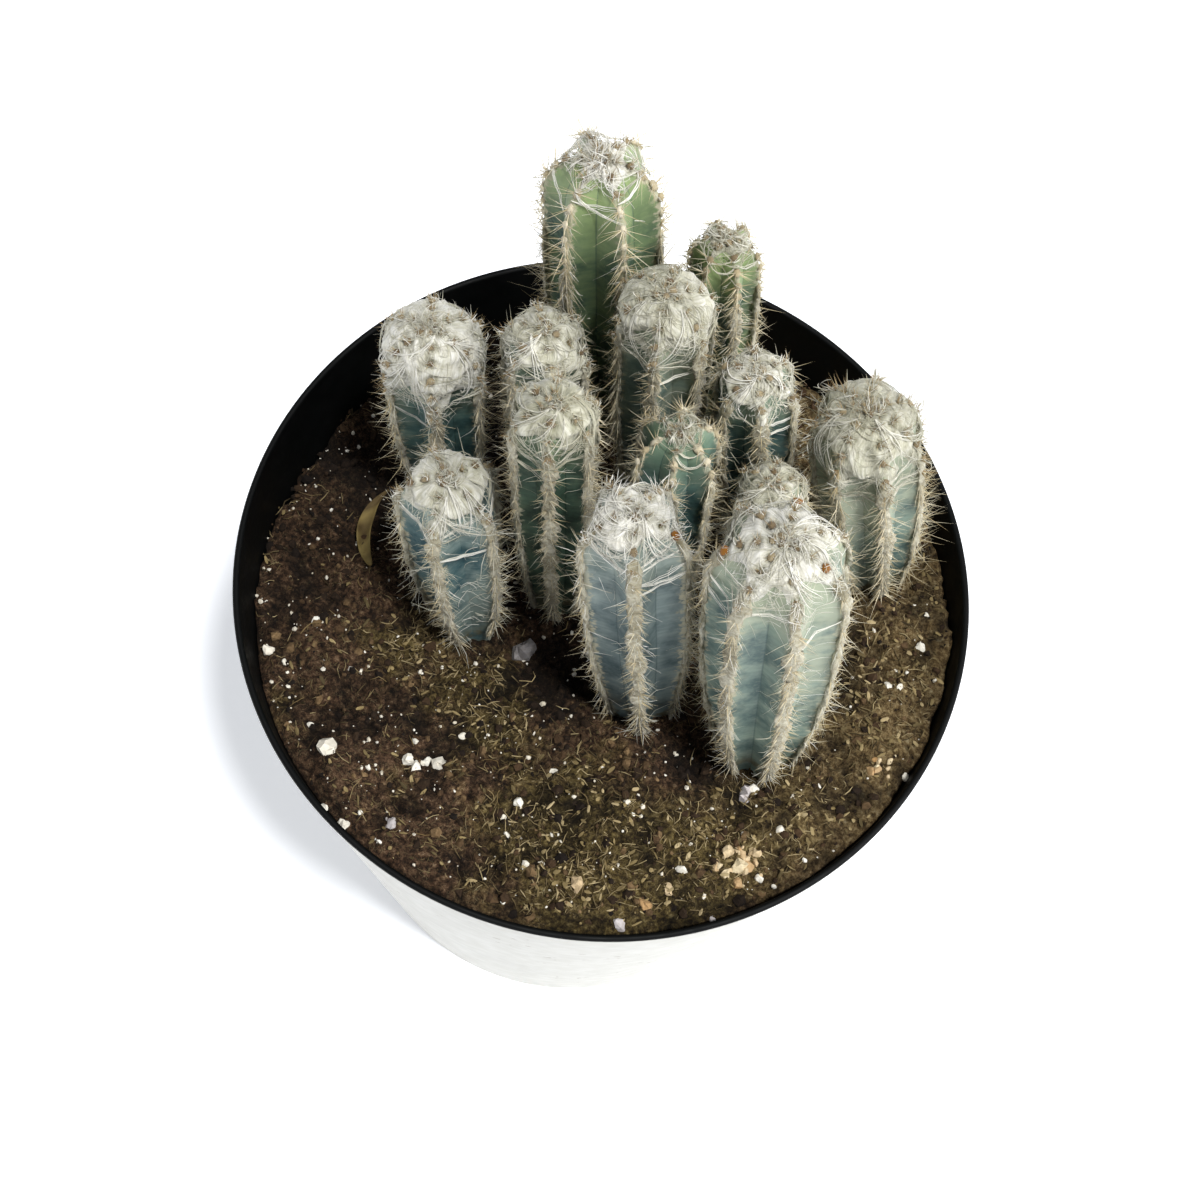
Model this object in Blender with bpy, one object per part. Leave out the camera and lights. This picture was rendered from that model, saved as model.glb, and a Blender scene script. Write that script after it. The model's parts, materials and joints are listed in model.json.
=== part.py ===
"""Clump of blue torch cactus stems standing in soil in a round nursery pot.

Lengths are in metres, +Z is up, and -Y is the front. The origin is the centre of the ring on which the pot stands.
"""
import math
import random
from collections import namedtuple

import bmesh
import bpy
from mathutils import Vector, noise

# Pot, a tapered grower's pot with a thin rolled lip
POT_HEIGHT = 0.140
RIM_RADIUS = 0.075
FOOT_RADIUS = 0.0537
WALL = 0.0011
LIP_WIDTH = 0.0016
LIP_HEIGHT = 0.0016
FOOT_RING_WIDTH = 0.005
FLOOR_LIFT = 0.003
POT_SIDES = 48
DRAIN_COUNT = 6
DRAIN_RADIUS = 0.004
DRAIN_RING_RADIUS = 0.034
DRAIN_SIDES = 8

# Gap between solids that touch on the real plant
GAP = 0.0003

# Soil surface, a plane that falls to the back left, with clods and hollows on it
SOIL_CENTRE_LEVEL = 0.1305
SOIL_RISE_RIGHT = 0.065
SOIL_FALL_BACK = 0.118
SOIL_TOP_LEVEL = POT_HEIGHT - 0.0017
SOIL_RINGS = 9
SOIL_ROUGHNESS = 0.0007
SOIL_ROUGHNESS_PITCH = 0.011
Swell = namedtuple("Swell", "x y rise reach")
SWELLS = (
    Swell(0.0134, -0.0395, 0.0035, 0.0090),
    Swell(0.0365, -0.0530, 0.0012, 0.0080),
    Swell(-0.0300, -0.0560, 0.0014, 0.0140),
    Swell(0.0215, -0.0345, -0.0035, 0.0060),
    Swell(-0.0045, -0.0165, -0.0045, 0.0090),
    Swell(-0.0560, 0.0330, -0.0015, 0.0160),
)

# Larger grains and lumps sunk into the surface: place and radius
Grain = namedtuple("Grain", "x y radius")
GRAINS = (
    Grain(-0.0484, -0.0439, 0.0021),
    Grain(-0.0325, -0.0427, 0.0018),
    Grain(-0.0265, -0.0437, 0.0019),
    Grain(-0.0133, -0.0155, 0.0026),
    Grain(0.0355, -0.0402, 0.0020),
    Grain(0.0150, -0.0680, 0.0019),
    Grain(0.0365, -0.0530, 0.0022),
    Grain(0.0640, -0.0285, 0.0018),
    Grain(-0.0410, -0.0560, 0.0018),
    Grain(0.0080, 0.0580, 0.0020),
    Grain(0.0500, 0.0450, 0.0019),
    Grain(-0.0480, 0.0400, 0.0020),
)
GRAIN_FLATNESS = 0.75
GRAIN_SUNK = 0.35

# Dry leaf blade lying on a smooth bed of soil: centre, size and the arc that it curls along
LEAF_CENTRE = (-0.0515, 0.0078)
LEAF_BED_RADIUS = 0.017
LEAF_ARC_RADIUS = 0.0155
LEAF_ARC_HALF_ANGLE = math.radians(38)
LEAF_HALF_WIDTH = 0.0016
LEAF_THICKNESS = 0.0006
LEAF_STEPS = 10

# Stems: base on the soil, crown point, crest radius, rib count and turn of the first rib from the front
Stem = namedtuple("Stem", "name base crown radius ribs turn")
STEMS = (
    Stem("stem_tall_back", (-0.0070, 0.0440), (-0.0130, 0.0385, 0.230), 0.0108, 6, 30),
    Stem("stem_slim_back", (0.0173, 0.0440), (0.0108, 0.0385, 0.212), 0.0065, 6, 30),
    Stem("stem_centre_back", (0.0075, 0.0235), (0.0020, 0.0225, 0.217), 0.0088, 6, -5),
    Stem("stem_left_back", (-0.0370, 0.0220), (-0.0395, 0.0190, 0.1955), 0.0098, 6, 10),
    Stem("stem_left_inner", (-0.0150, 0.0200), (-0.0185, 0.0180, 0.204), 0.0079, 6, 20),
    Stem("stem_left_mid", (-0.0093, -0.0020), (-0.0140, -0.0020, 0.2155), 0.0079, 6, 3),
    Stem("stem_left_front", (-0.0265, -0.0100), (-0.0315, -0.0080, 0.1905), 0.0097, 5, -8),
    Stem("stem_centre_small", (0.0120, 0.0030), (0.0085, 0.0040, 0.202), 0.0080, 6, 0),
    Stem("stem_right_inner", (0.0280, 0.0200), (0.0205, 0.0170, 0.204), 0.0077, 6, 15),
    Stem("stem_right", (0.0540, 0.0160), (0.0420, 0.0180, 0.196), 0.0107, 7, 24),
    Stem("stem_right_small", (0.0340, 0.0010), (0.0270, 0.0030, 0.190), 0.0068, 6, 0),
    Stem("stem_front_centre", (0.0115, -0.0235), (0.0030, -0.0190, 0.214), 0.0101, 5, 7),
    Stem("stem_front_right", (0.0355, -0.0280), (0.0280, -0.0245, 0.225), 0.0126, 7, 20),
)

# Stem profile: waist at the soil, full width part of the way up, blunt dome on top
WAIST = 0.64
FULL_WIDTH_AT = 0.60
COLLAR = 0.003
FOOT_DEPTH = 0.012
FOOT_TAPER = 0.55
DOME_HEIGHT = 1.15
DOME_STEPS = (0.42, 0.74, 0.93)
DOME_SHARPNESS = 2.3
VALLEY_FOLD = 0.10
CREST_HALF_ANGLE = math.radians(5)

# Areoles on the crests, one cushion at every level, each with a spine
AREOLE_PITCH = 0.0125
AREOLE_BULGE = 0.0006
SPINE_LENGTH = (0.0045, 0.0075)
SPINE_RADIUS = 0.00034
SPINE_ROOT = 0.0012
SPINE_SIDES = 3
SPINE_RISE = (12, 42)
SPINE_SWING = 32
SPINE_CLEARANCE = 0.0006
SPINE_REACH = 0.0732
CROWN_SPINES = 3
BEND_STEP = 14
SEED = 5940

# Surface colours, sRGB
WHITE_PLASTIC = "#e6e5df"
BLACK_PLASTIC = "#15171a"
SOIL_BROWN = "#4a3a2c"
DRY_LEAF = "#a98c5a"
SPINE_CREAM = "#d9cdb0"
SKIN_BLUE_GREEN = "#4f7376"
SKIN_YELLOW_GREEN = "#869f6e"
SKIN_DARK_GREEN = "#3f5d4c"
SKIN_SAGE = "#7b9c8c"
SKIN_COLOURS = {
    "stem_tall_back": SKIN_YELLOW_GREEN,
    "stem_slim_back": SKIN_YELLOW_GREEN,
    "stem_left_mid": SKIN_DARK_GREEN,
    "stem_centre_back": SKIN_SAGE,
    "stem_front_right": SKIN_SAGE,
    "stem_right": SKIN_SAGE,
}


def clear_scene():
    for item in list(bpy.data.objects):
        bpy.data.objects.remove(item, do_unlink=True)


def linear(hex_colour):
    """Turn an sRGB hex colour into a linear RGBA tuple."""
    channels = [int(hex_colour[i:i + 2], 16) / 255 for i in (1, 3, 5)]
    return tuple(c / 12.92 if c <= 0.04045 else ((c + 0.055) / 1.055) ** 2.4 for c in channels) + (1.0,)


def material(name, hex_colour, roughness):
    """Return the named Principled material, making it on first use."""
    found = bpy.data.materials.get(name)
    if found:
        return found
    made = bpy.data.materials.new(name)
    made.use_nodes = True
    shader = made.node_tree.nodes["Principled BSDF"]
    shader.inputs["Base Color"].default_value = linear(hex_colour)
    shader.inputs["Roughness"].default_value = roughness
    shader.inputs["Metallic"].default_value = 0.0
    made.diffuse_color = linear(hex_colour)
    return made


def add_object(name, shape, finish, collection=None):
    """Turn a bmesh into a named object with one material."""
    bmesh.ops.recalc_face_normals(shape, faces=shape.faces)
    mesh = bpy.data.meshes.new(name)
    shape.to_mesh(mesh)
    shape.free()
    mesh.materials.append(finish)
    item = bpy.data.objects.new(name, mesh)
    (collection or bpy.context.scene.collection).objects.link(item)
    return item


def smooth_round(item, sharp_above=40):
    item.data.shade_smooth()
    item.data.set_sharp_from_angle(angle=math.radians(sharp_above))


def loft(rings, bottom=None, top=None):
    """Join rings of points by quads, closing each end with a point, or a flat face where none is given."""
    shape = bmesh.new()
    layers = [[shape.verts.new(point) for point in ring] for ring in rings]
    count = len(rings[0])
    for low, high in zip(layers, layers[1:]):
        for i in range(count):
            j = (i + 1) % count
            shape.faces.new((low[i], low[j], high[j], high[i]))
    for layer, point in ((layers[0], bottom), (layers[-1], top)):
        if point is None:
            shape.faces.new(layer)
            continue
        tip = shape.verts.new(point)
        for i in range(count):
            shape.faces.new((layer[i], layer[(i + 1) % count], tip))
    return shape


def fuse(item, pieces):
    """Union a collection of pieces into the item, apply it and remove the pieces."""
    joiner = item.modifiers.new("fuse", "BOOLEAN")
    joiner.operation = "UNION"
    joiner.operand_type = "COLLECTION"
    joiner.collection = pieces
    joiner.solver = "EXACT"
    joiner.material_mode = "TRANSFER"
    bpy.context.view_layer.objects.active = item
    bpy.ops.object.modifier_apply(modifier=joiner.name)
    for piece in list(pieces.objects):
        bpy.data.objects.remove(piece, do_unlink=True)
    bpy.data.collections.remove(pieces)


def new_collection(name):
    made = bpy.data.collections.new(name)
    bpy.context.scene.collection.children.link(made)
    return made


# Pot

def inner_radius(z):
    """Radius of the pot's inner wall at a height."""
    share = z / POT_HEIGHT
    return FOOT_RADIUS - WALL + share * (RIM_RADIUS - LIP_WIDTH - FOOT_RADIUS + WALL)


def pot_profile():
    """Closed outline of the pot's wall from the floor's top centre round to its underside."""
    floor_top = FLOOR_LIFT + WALL
    lip_bottom = POT_HEIGHT - LIP_HEIGHT
    edge = LIP_HEIGHT / 4
    return (
        (0.0, floor_top),
        (inner_radius(floor_top), floor_top),
        (inner_radius(POT_HEIGHT), POT_HEIGHT - edge),
        (inner_radius(POT_HEIGHT) + edge, POT_HEIGHT),
        (RIM_RADIUS - edge, POT_HEIGHT),
        (RIM_RADIUS, POT_HEIGHT - edge),
        (RIM_RADIUS, lip_bottom),
        (inner_radius(lip_bottom) + WALL, lip_bottom),
        (FOOT_RADIUS, 0.0),
        (FOOT_RADIUS - FOOT_RING_WIDTH, 0.0),
        (FOOT_RADIUS - FOOT_RING_WIDTH, FLOOR_LIFT),
        (0.0, FLOOR_LIFT),
    )


def build_pot():
    shape = bmesh.new()
    points = [shape.verts.new((radius, 0.0, z)) for radius, z in pot_profile()]
    outline = [shape.edges.new(pair) for pair in zip(points, points[1:])]
    bmesh.ops.spin(shape, geom=points + outline, cent=(0, 0, 0), axis=(0, 0, 1), angle=math.tau,
                   steps=POT_SIDES, use_merge=True)
    bmesh.ops.remove_doubles(shape, verts=shape.verts, dist=1e-6)
    pot = add_object("pot", shape, material("white_plastic_outside", WHITE_PLASTIC, 0.35))
    pot.data.materials.append(material("black_plastic_inside_and_lip", BLACK_PLASTIC, 0.4))
    for face in pot.data.polygons:
        outward = Vector((face.center.x, face.center.y, 0)).dot(face.normal) > 0
        in_lip = face.center.z > POT_HEIGHT - LIP_HEIGHT - WALL / 2
        on_floor = face.center.z > FLOOR_LIFT + WALL / 2 and not outward
        face.material_index = 1 if in_lip or on_floor else 0
    cut_drain_holes(pot)
    smooth_round(pot)


def cut_drain_holes(pot):
    drills = new_collection("drain_drills")
    for i in range(DRAIN_COUNT):
        turn = math.tau * (i + 0.5) / DRAIN_COUNT
        shape = bmesh.new()
        bmesh.ops.create_cone(shape, cap_ends=True, segments=DRAIN_SIDES, radius1=DRAIN_RADIUS,
                              radius2=DRAIN_RADIUS, depth=4 * FLOOR_LIFT)
        drill = add_object(f"drain_drill_{i}", shape, material("cutter", BLACK_PLASTIC, 0.5), drills)
        drill.location = (DRAIN_RING_RADIUS * math.cos(turn), DRAIN_RING_RADIUS * math.sin(turn), FLOOR_LIFT)
        mark_as_cutter(drill)
    cut(pot, drills)


def mark_as_cutter(item):
    item.hide_render = True
    item.display_type = "WIRE"


def cut(item, cutters):
    knife = item.modifiers.new("cut", "BOOLEAN")
    knife.operation = "DIFFERENCE"
    knife.operand_type = "COLLECTION"
    knife.collection = cutters
    knife.solver = "EXACT"


# Soil

def swell_height(swell, x, y):
    away = math.hypot(x - swell.x, y - swell.y) / swell.reach
    return swell.rise * math.exp(-away * away)


def soil_height(x, y):
    """Height of the soil surface at a place in the pot."""
    plane = SOIL_CENTRE_LEVEL + SOIL_RISE_RIGHT * x - SOIL_FALL_BACK * y
    from_leaf = math.hypot(x - LEAF_CENTRE[0], y - LEAF_CENTRE[1]) / LEAF_BED_RADIUS
    roughness = SOIL_ROUGHNESS * min(1.0, max(0.0, 2 * from_leaf - 2))
    grain = roughness * noise.noise(Vector((x, y, 0.0)) / SOIL_ROUGHNESS_PITCH)
    swells = sum(swell_height(swell, x, y) for swell in SWELLS) if from_leaf > 1 else 0.0
    return min(SOIL_TOP_LEVEL, plane + grain + swells)


def ring_of_soil(share):
    """Points of one ring of the surface, share being its part of the way out to the wall."""
    points = []
    for i in range(POT_SIDES):
        turn = math.tau * i / POT_SIDES
        out = Vector((math.cos(turn), math.sin(turn), 0.0))
        level = soil_height(*(out.xy * share * inner_radius(SOIL_CENTRE_LEVEL)))
        place = out * share * (inner_radius(level) - GAP)
        points.append((place.x, place.y, soil_height(place.x, place.y) if share < 1 else level))
    return points


def build_soil():
    floor_top = FLOOR_LIFT + WALL + GAP
    floor_ring = [
        ((inner_radius(floor_top) - GAP) * math.cos(math.tau * i / POT_SIDES),
         (inner_radius(floor_top) - GAP) * math.sin(math.tau * i / POT_SIDES), floor_top)
        for i in range(POT_SIDES)
    ]
    surface = [ring_of_soil(1 - i / SOIL_RINGS) for i in range(SOIL_RINGS)]
    shape = loft([floor_ring] + surface, top=(0.0, 0.0, soil_height(0.0, 0.0)))
    soil = add_object("soil", shape, material("peat_soil", SOIL_BROWN, 0.95))
    add_grains(soil)
    cut_stem_holes(soil)


def add_grains(soil):
    """Sink the larger perlite grains and lumps into the surface."""
    draw = random.Random(SEED)
    grains = new_collection("grains")
    for i, grain in enumerate(GRAINS):
        shape = bmesh.new()
        bmesh.ops.create_icosphere(shape, subdivisions=1, radius=grain.radius)
        for corner in shape.verts:
            corner.co *= draw.uniform(0.85, 1.1)
            corner.co.z *= GRAIN_FLATNESS
        item = add_object(f"grain_{i}", shape, material("white_perlite", WHITE_PLASTIC, 0.9), grains)
        item.location = (grain.x, grain.y, soil_height(grain.x, grain.y) - GRAIN_SUNK * grain.radius)
    bpy.context.view_layer.update()
    fuse(soil, grains)


def cut_stem_holes(soil):
    """Cut the plain round hole that each stem's foot stands in."""
    drills = new_collection("stem_drills")
    for stem in STEMS:
        level = soil_height(*stem.base)
        depth = FOOT_DEPTH + GAP
        sides = 2 * stem.ribs
        radius = (WAIST * stem.radius + GAP) / math.cos(math.pi / sides)
        shape = bmesh.new()
        bmesh.ops.create_cone(shape, cap_ends=True, segments=sides, radius1=radius, radius2=radius, depth=2 * depth)
        drill = add_object(f"{stem.name}_drill", shape, material("cutter", BLACK_PLASTIC, 0.5), drills)
        drill.location = (stem.base[0], stem.base[1], level)
        mark_as_cutter(drill)
    cut(soil, drills)


# Stems

def dome_base(stem):
    return stem.crown[2] - DOME_HEIGHT * stem.radius


def axis_point(stem, z):
    """Centre of the stem at a height: upright through the collar, then leaning evenly to the crown."""
    foot = soil_height(*stem.base) + COLLAR
    share = min(1.0, max(0.0, (z - foot) / (stem.crown[2] - foot)))
    x = stem.base[0] + share * (stem.crown[0] - stem.base[0])
    y = stem.base[1] + share * (stem.crown[1] - stem.base[1])
    return Vector((x, y, z))


def crest_radius(stem, z):
    """Radius over the rib crests at a height."""
    foot = soil_height(*stem.base) + COLLAR
    share = min(1.0, max(0.0, (z - foot) / (stem.crown[2] - foot) / FULL_WIDTH_AT))
    width = WAIST + (1 - WAIST) * share * (2 - share)
    rise = max(0.0, (z - dome_base(stem)) / (stem.crown[2] - dome_base(stem)))
    return stem.radius * width * math.sqrt(max(0.0, 1 - rise ** DOME_SHARPNESS))


def rib_angle(stem, rib):
    """Direction of a rib crest, counted from the front."""
    return math.radians(stem.turn - 90) + math.tau * rib / stem.ribs


def section(stem, z, radius, bulge=0.0, fold=VALLEY_FOLD):
    """One ring of a stem: two points on each crest and one in each valley."""
    centre = axis_point(stem, z)
    valley = radius * (math.cos(math.pi / stem.ribs) - fold)
    points = []
    for rib in range(stem.ribs):
        crest = rib_angle(stem, rib)
        for turn, out in ((crest - CREST_HALF_ANGLE, radius + bulge),
                          (crest + CREST_HALF_ANGLE, radius + bulge),
                          (crest + math.pi / stem.ribs, valley)):
            points.append(centre + out * Vector((math.cos(turn), math.sin(turn), 0.0)))
    return points


def areole_levels(stem):
    """Heights of the areoles on the straight part of a stem."""
    low = soil_height(*stem.base) + COLLAR
    count = round((dome_base(stem) - low) / AREOLE_PITCH)
    pitch = (dome_base(stem) - low) / count
    return [low + (i + 0.5) * pitch for i in range(count)]


def stem_body(stem):
    level = soil_height(*stem.base)
    waist = WAIST * stem.radius
    rings = [
        section(stem, level - FOOT_DEPTH, FOOT_TAPER * waist, fold=0.0),
        section(stem, level - FOOT_DEPTH / 2, waist),
        section(stem, level + COLLAR, waist),
    ]
    levels = areole_levels(stem)
    half_pitch = (levels[1] - levels[0]) / 2
    for z in levels:
        rings.append(section(stem, z, crest_radius(stem, z), AREOLE_BULGE))
        rings.append(section(stem, z + half_pitch, crest_radius(stem, z + half_pitch)))
    dome = stem.crown[2] - dome_base(stem)
    for share in DOME_STEPS:
        z = dome_base(stem) + share * dome
        rings.append(section(stem, z, crest_radius(stem, z)))
    return loft(rings, top=stem.crown)


def skin_distance(stem, point):
    """Rough distance from a point to a stem's skin, with the dome taken as half a ball."""
    z = min(point.z, stem.crown[2] - stem.radius)
    return (point - axis_point(stem, z)).length - crest_radius(stem, min(z, dome_base(stem)))


def is_clear(stem, point):
    """Tell whether a spine tip stays on its own stem's side of every neighbour, over the soil and in the rim."""
    own = skin_distance(stem, point)
    for other in STEMS:
        if other is not stem and skin_distance(other, point) < own + 2 * SPINE_CLEARANCE:
            return False
    over_soil = point.z > soil_height(point.x, point.y) + 2 * SPINE_CLEARANCE
    return over_soil and point.xy.length < SPINE_REACH


def spine_direction(turn, rise):
    return Vector((math.cos(turn) * math.cos(rise), math.sin(turn) * math.cos(rise), math.sin(rise)))


def free_spine(stem, root, turn, rise, length):
    """Bend a spine upwards, then shorten it, until it is clear of what stands near it."""
    for scale in (1.0, 0.7, 0.45):
        for bend in range(5):
            way = spine_direction(turn, min(math.radians(80), rise + math.radians(bend * BEND_STEP)))
            if all(is_clear(stem, root + way * length * scale * share) for share in (0.55, 0.8, 1.0)):
                return way, length * scale
    return None


def add_spine(name, root, way, length, spines):
    """Model one spine as a slim pyramid with its foot sunk in the areole."""
    shape = bmesh.new()
    bmesh.ops.create_cone(shape, cap_ends=True, segments=SPINE_SIDES, radius1=SPINE_RADIUS, radius2=0.0,
                          depth=length + SPINE_ROOT)
    bmesh.ops.remove_doubles(shape, verts=shape.verts, dist=1e-7)
    item = add_object(name, shape, material("cream_spine", SPINE_CREAM, 0.6), spines)
    item.rotation_mode = "QUATERNION"
    item.rotation_quaternion = way.to_track_quat("Z", "Y")
    item.location = root + way * (length - SPINE_ROOT) / 2


def spine_roots(stem):
    """Give the height and the least rise of each ring of spines, from the soil to the crown."""
    rings = [(z, SPINE_RISE[0]) for z in areole_levels(stem)]
    dome = stem.crown[2] - dome_base(stem)
    rings.append((dome_base(stem) + DOME_STEPS[0] * dome, SPINE_RISE[1]))
    rings.append((dome_base(stem) + DOME_STEPS[1] * dome, SPINE_RISE[1] + BEND_STEP))
    return rings


def build_stem(stem, draw):
    name = stem.name
    skin = material(f"{name}_skin", SKIN_COLOURS.get(name, SKIN_BLUE_GREEN), 0.55)
    body = add_object(name, stem_body(stem), skin)
    spines = new_collection(f"{name}_spines")
    for ring, (z, rise) in enumerate(spine_roots(stem)):
        for rib in range(stem.ribs):
            crest = rib_angle(stem, rib)
            out = Vector((math.cos(crest), math.sin(crest), 0.0))
            root = axis_point(stem, z) + out * (crest_radius(stem, z) * math.cos(CREST_HALF_ANGLE))
            side = 1 if (ring + rib) % 2 else -1
            turn = crest + side * math.radians(draw.uniform(0.3, 1.0) * SPINE_SWING)
            lift = math.radians(draw.uniform(rise, rise + SPINE_RISE[1] - SPINE_RISE[0]))
            found = free_spine(stem, root, turn, lift, draw.uniform(*SPINE_LENGTH))
            if found:
                add_spine(f"{name}_spine_{ring}_{rib}", root, *found, spines)
    for i in range(CROWN_SPINES):
        turn = math.tau * (i + draw.random()) / CROWN_SPINES
        way = spine_direction(turn, math.radians(draw.uniform(58, 75)))
        root = Vector(stem.crown) - Vector((0, 0, SPINE_RADIUS))
        add_spine(f"{name}_crown_spine_{i}", root + 0.12 * stem.radius * spine_direction(turn, 0), way,
                  SPINE_LENGTH[0] * draw.uniform(0.6, 0.9), spines)
    bpy.context.view_layer.update()
    fuse(body, spines)
    smooth_round(body, 30)


# Dry leaf

def build_dry_leaf():
    """Model a crescent blade, pointed at both ends, that lies just over the plain bed of soil."""
    arc_centre = Vector((LEAF_CENTRE[0] + LEAF_ARC_RADIUS, LEAF_CENTRE[1]))
    rings = []
    for i in range(1, LEAF_STEPS):
        share = 2 * i / LEAF_STEPS - 1
        turn = math.pi + share * LEAF_ARC_HALF_ANGLE
        half = LEAF_HALF_WIDTH * math.sqrt(1 - share * share)
        ring = []
        for out, lift in ((-half, 0.0), (half, 0.0), (half, LEAF_THICKNESS), (-half, LEAF_THICKNESS)):
            place = arc_centre + (LEAF_ARC_RADIUS + out) * Vector((math.cos(turn), math.sin(turn)))
            ring.append((place.x, place.y, soil_height(*place) + GAP + lift))
        rings.append(ring)
    ends = []
    for side in (-1, 1):
        turn = math.pi + side * LEAF_ARC_HALF_ANGLE
        place = arc_centre + LEAF_ARC_RADIUS * Vector((math.cos(turn), math.sin(turn)))
        ends.append((place.x, place.y, soil_height(*place) + GAP + LEAF_THICKNESS / 2))
    shape = loft(rings, bottom=ends[0], top=ends[1])
    add_object("dry_leaf", shape, material("dry_leaf_blade", DRY_LEAF, 0.8))


def main():
    clear_scene()
    build_pot()
    build_soil()
    build_dry_leaf()
    draw = random.Random(SEED)
    for stem in STEMS:
        build_stem(stem, draw)


main()
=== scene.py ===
"""Looks of a potted clump of blue torch cactus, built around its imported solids.

The skin, wool and spines of its stems, the soil and the pot, with floor, lamps and camera. Lengths are in
metres unless a name ends in _mm.
"""

import json
import logging
import math
from dataclasses import dataclass
from enum import Enum
from functools import cache

import bmesh
import bpy
import numpy as np
from bpy.types import Material, Node, NodeSocket, NodeTree, Object
from mathutils import Matrix, Vector, noise
from numpy import ndarray
from numpy.random import Generator

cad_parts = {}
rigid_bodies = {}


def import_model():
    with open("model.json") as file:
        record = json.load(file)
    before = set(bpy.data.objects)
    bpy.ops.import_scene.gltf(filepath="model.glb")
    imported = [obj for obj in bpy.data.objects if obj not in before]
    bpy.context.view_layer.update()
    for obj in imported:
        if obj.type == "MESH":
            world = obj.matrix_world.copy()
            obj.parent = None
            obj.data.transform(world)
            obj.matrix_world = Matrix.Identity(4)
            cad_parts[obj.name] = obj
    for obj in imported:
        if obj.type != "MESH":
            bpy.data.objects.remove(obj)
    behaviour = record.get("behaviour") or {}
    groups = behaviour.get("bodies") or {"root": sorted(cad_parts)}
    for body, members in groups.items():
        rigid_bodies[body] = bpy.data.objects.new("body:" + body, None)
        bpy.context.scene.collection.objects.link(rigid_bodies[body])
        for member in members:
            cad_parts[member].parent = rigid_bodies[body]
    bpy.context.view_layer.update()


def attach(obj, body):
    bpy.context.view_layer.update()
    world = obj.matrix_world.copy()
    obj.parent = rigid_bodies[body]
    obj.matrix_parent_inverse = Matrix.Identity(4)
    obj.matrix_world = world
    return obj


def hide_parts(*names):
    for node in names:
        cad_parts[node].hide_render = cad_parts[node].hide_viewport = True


for leftover in list(bpy.data.objects):
    bpy.data.objects.remove(leftover, do_unlink=True)
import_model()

LOG = logging.getLogger("torch_cactus")
MM = 0.001
BODY = "root"
SEED = 5940


# Helpers for nodes, meshes and paths

def linear(hex_colour: str) -> tuple[float, float, float, float]:
    """Turn an sRGB hex colour into a linear RGBA value.

    Args:
        hex_colour: The colour as "#rrggbb".

    Returns:
        Red, green, blue and alpha, linear, from 0 to 1.
    """
    channels = [int(hex_colour[i:i + 2], 16) / 255 for i in (1, 3, 5)]
    red, green, blue = (c / 12.92 if c <= 0.04045 else ((c + 0.055) / 1.055) ** 2.4 for c in channels)
    return red, green, blue, 1.0


def add_node(tree: NodeTree, kind: str, inputs: dict | None = None, **settings) -> Node:
    """Add one node to a tree with its settings, values and links.

    Args:
        tree: The material's or the modifier's node tree.
        kind: The node's type name.
        inputs: Socket name or index to a value, or to the output socket that feeds it.
        **settings: Properties of the node itself.

    Returns:
        The new node.
    """
    made = tree.nodes.new(kind)
    for key, value in settings.items():
        setattr(made, key, value)
    for key, value in (inputs or {}).items():
        if isinstance(value, NodeSocket):
            tree.links.new(value, made.inputs[key])
        else:
            made.inputs[key].default_value = value
    return made


def colour_ramp(tree: NodeTree, factor: NodeSocket,
                stops: list[tuple[float, str]]) -> NodeSocket:
    """Add a colour ramp.

    Args:
        tree: The material's node tree.
        factor: What drives the ramp.
        stops: Place and hex colour of each stop, in order.

    Returns:
        The ramp's colour output.
    """
    ramp = add_node(tree, "ShaderNodeValToRGB", {"Fac": factor})
    while len(ramp.color_ramp.elements) < len(stops):
        ramp.color_ramp.elements.new(0.5)
    for element, (place, hex_colour) in zip(ramp.color_ramp.elements, stops):
        element.position = place
        element.color = linear(hex_colour)
    return ramp.outputs["Color"]


def blank_material(name: str, values: dict[str, float | tuple]) -> tuple[Material, NodeTree, Node]:
    """Make a material that holds only a Principled shader and its output.

    Args:
        name: What the material is, in a maker's words.
        values: The shader's inputs that are the same all over.

    Returns:
        The material, its node tree and the shader.
    """
    made = bpy.data.materials.new(name)
    made.use_nodes = True
    tree = made.node_tree
    tree.nodes.clear()
    shader = add_node(tree, "ShaderNodeBsdfPrincipled", values)
    add_node(tree, "ShaderNodeOutputMaterial", {"Surface": shader.outputs["BSDF"]})
    return made, tree, shader


def noise_pattern(tree: NodeTree, size_mm: float, detail: float = 3.0,
                  roughness: float = 0.55, flow: bool = False) -> NodeSocket:
    """Add noise over the object's own coordinates, with features of a real size.

    Args:
        tree: The material's node tree.
        size_mm: Distance from one light patch to the next, in millimetres.
        detail: How many finer layers lie on the first.
        roughness: How strong the finer layers are.
        flow: Read the mesh's flow attribute instead, whose lengths are shortened along the hairs.

    Returns:
        The noise's value output, about 0.3 to 0.7.
    """
    if flow:
        place = add_node(tree, "ShaderNodeAttribute", attribute_name="flow").outputs["Vector"]
    else:
        place = add_node(tree, "ShaderNodeTexCoord").outputs["Object"]
    pattern = add_node(tree, "ShaderNodeTexNoise", {
        "Vector": place, "Scale": 1 / (size_mm * MM), "Detail": detail, "Roughness": roughness})
    return pattern.outputs["Fac"]


def stretch(tree: NodeTree, value: NodeSocket, low: float, high: float,
            to_low: float = 0.0, to_high: float = 1.0) -> NodeSocket:
    """Map a value smoothly from one range to another, held at the ends.

    Args:
        tree: The material's node tree.
        value: The value to map.
        low: Start of the range that is read.
        high: End of the range that is read.
        to_low: Result at low and below.
        to_high: Result at high and above.

    Returns:
        The mapped value.
    """
    mapped = add_node(tree, "ShaderNodeMapRange", {
        "Value": value, "From Min": low, "From Max": high, "To Min": to_low, "To Max": to_high},
        interpolation_type="SMOOTHSTEP")
    return mapped.outputs["Result"]


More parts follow.
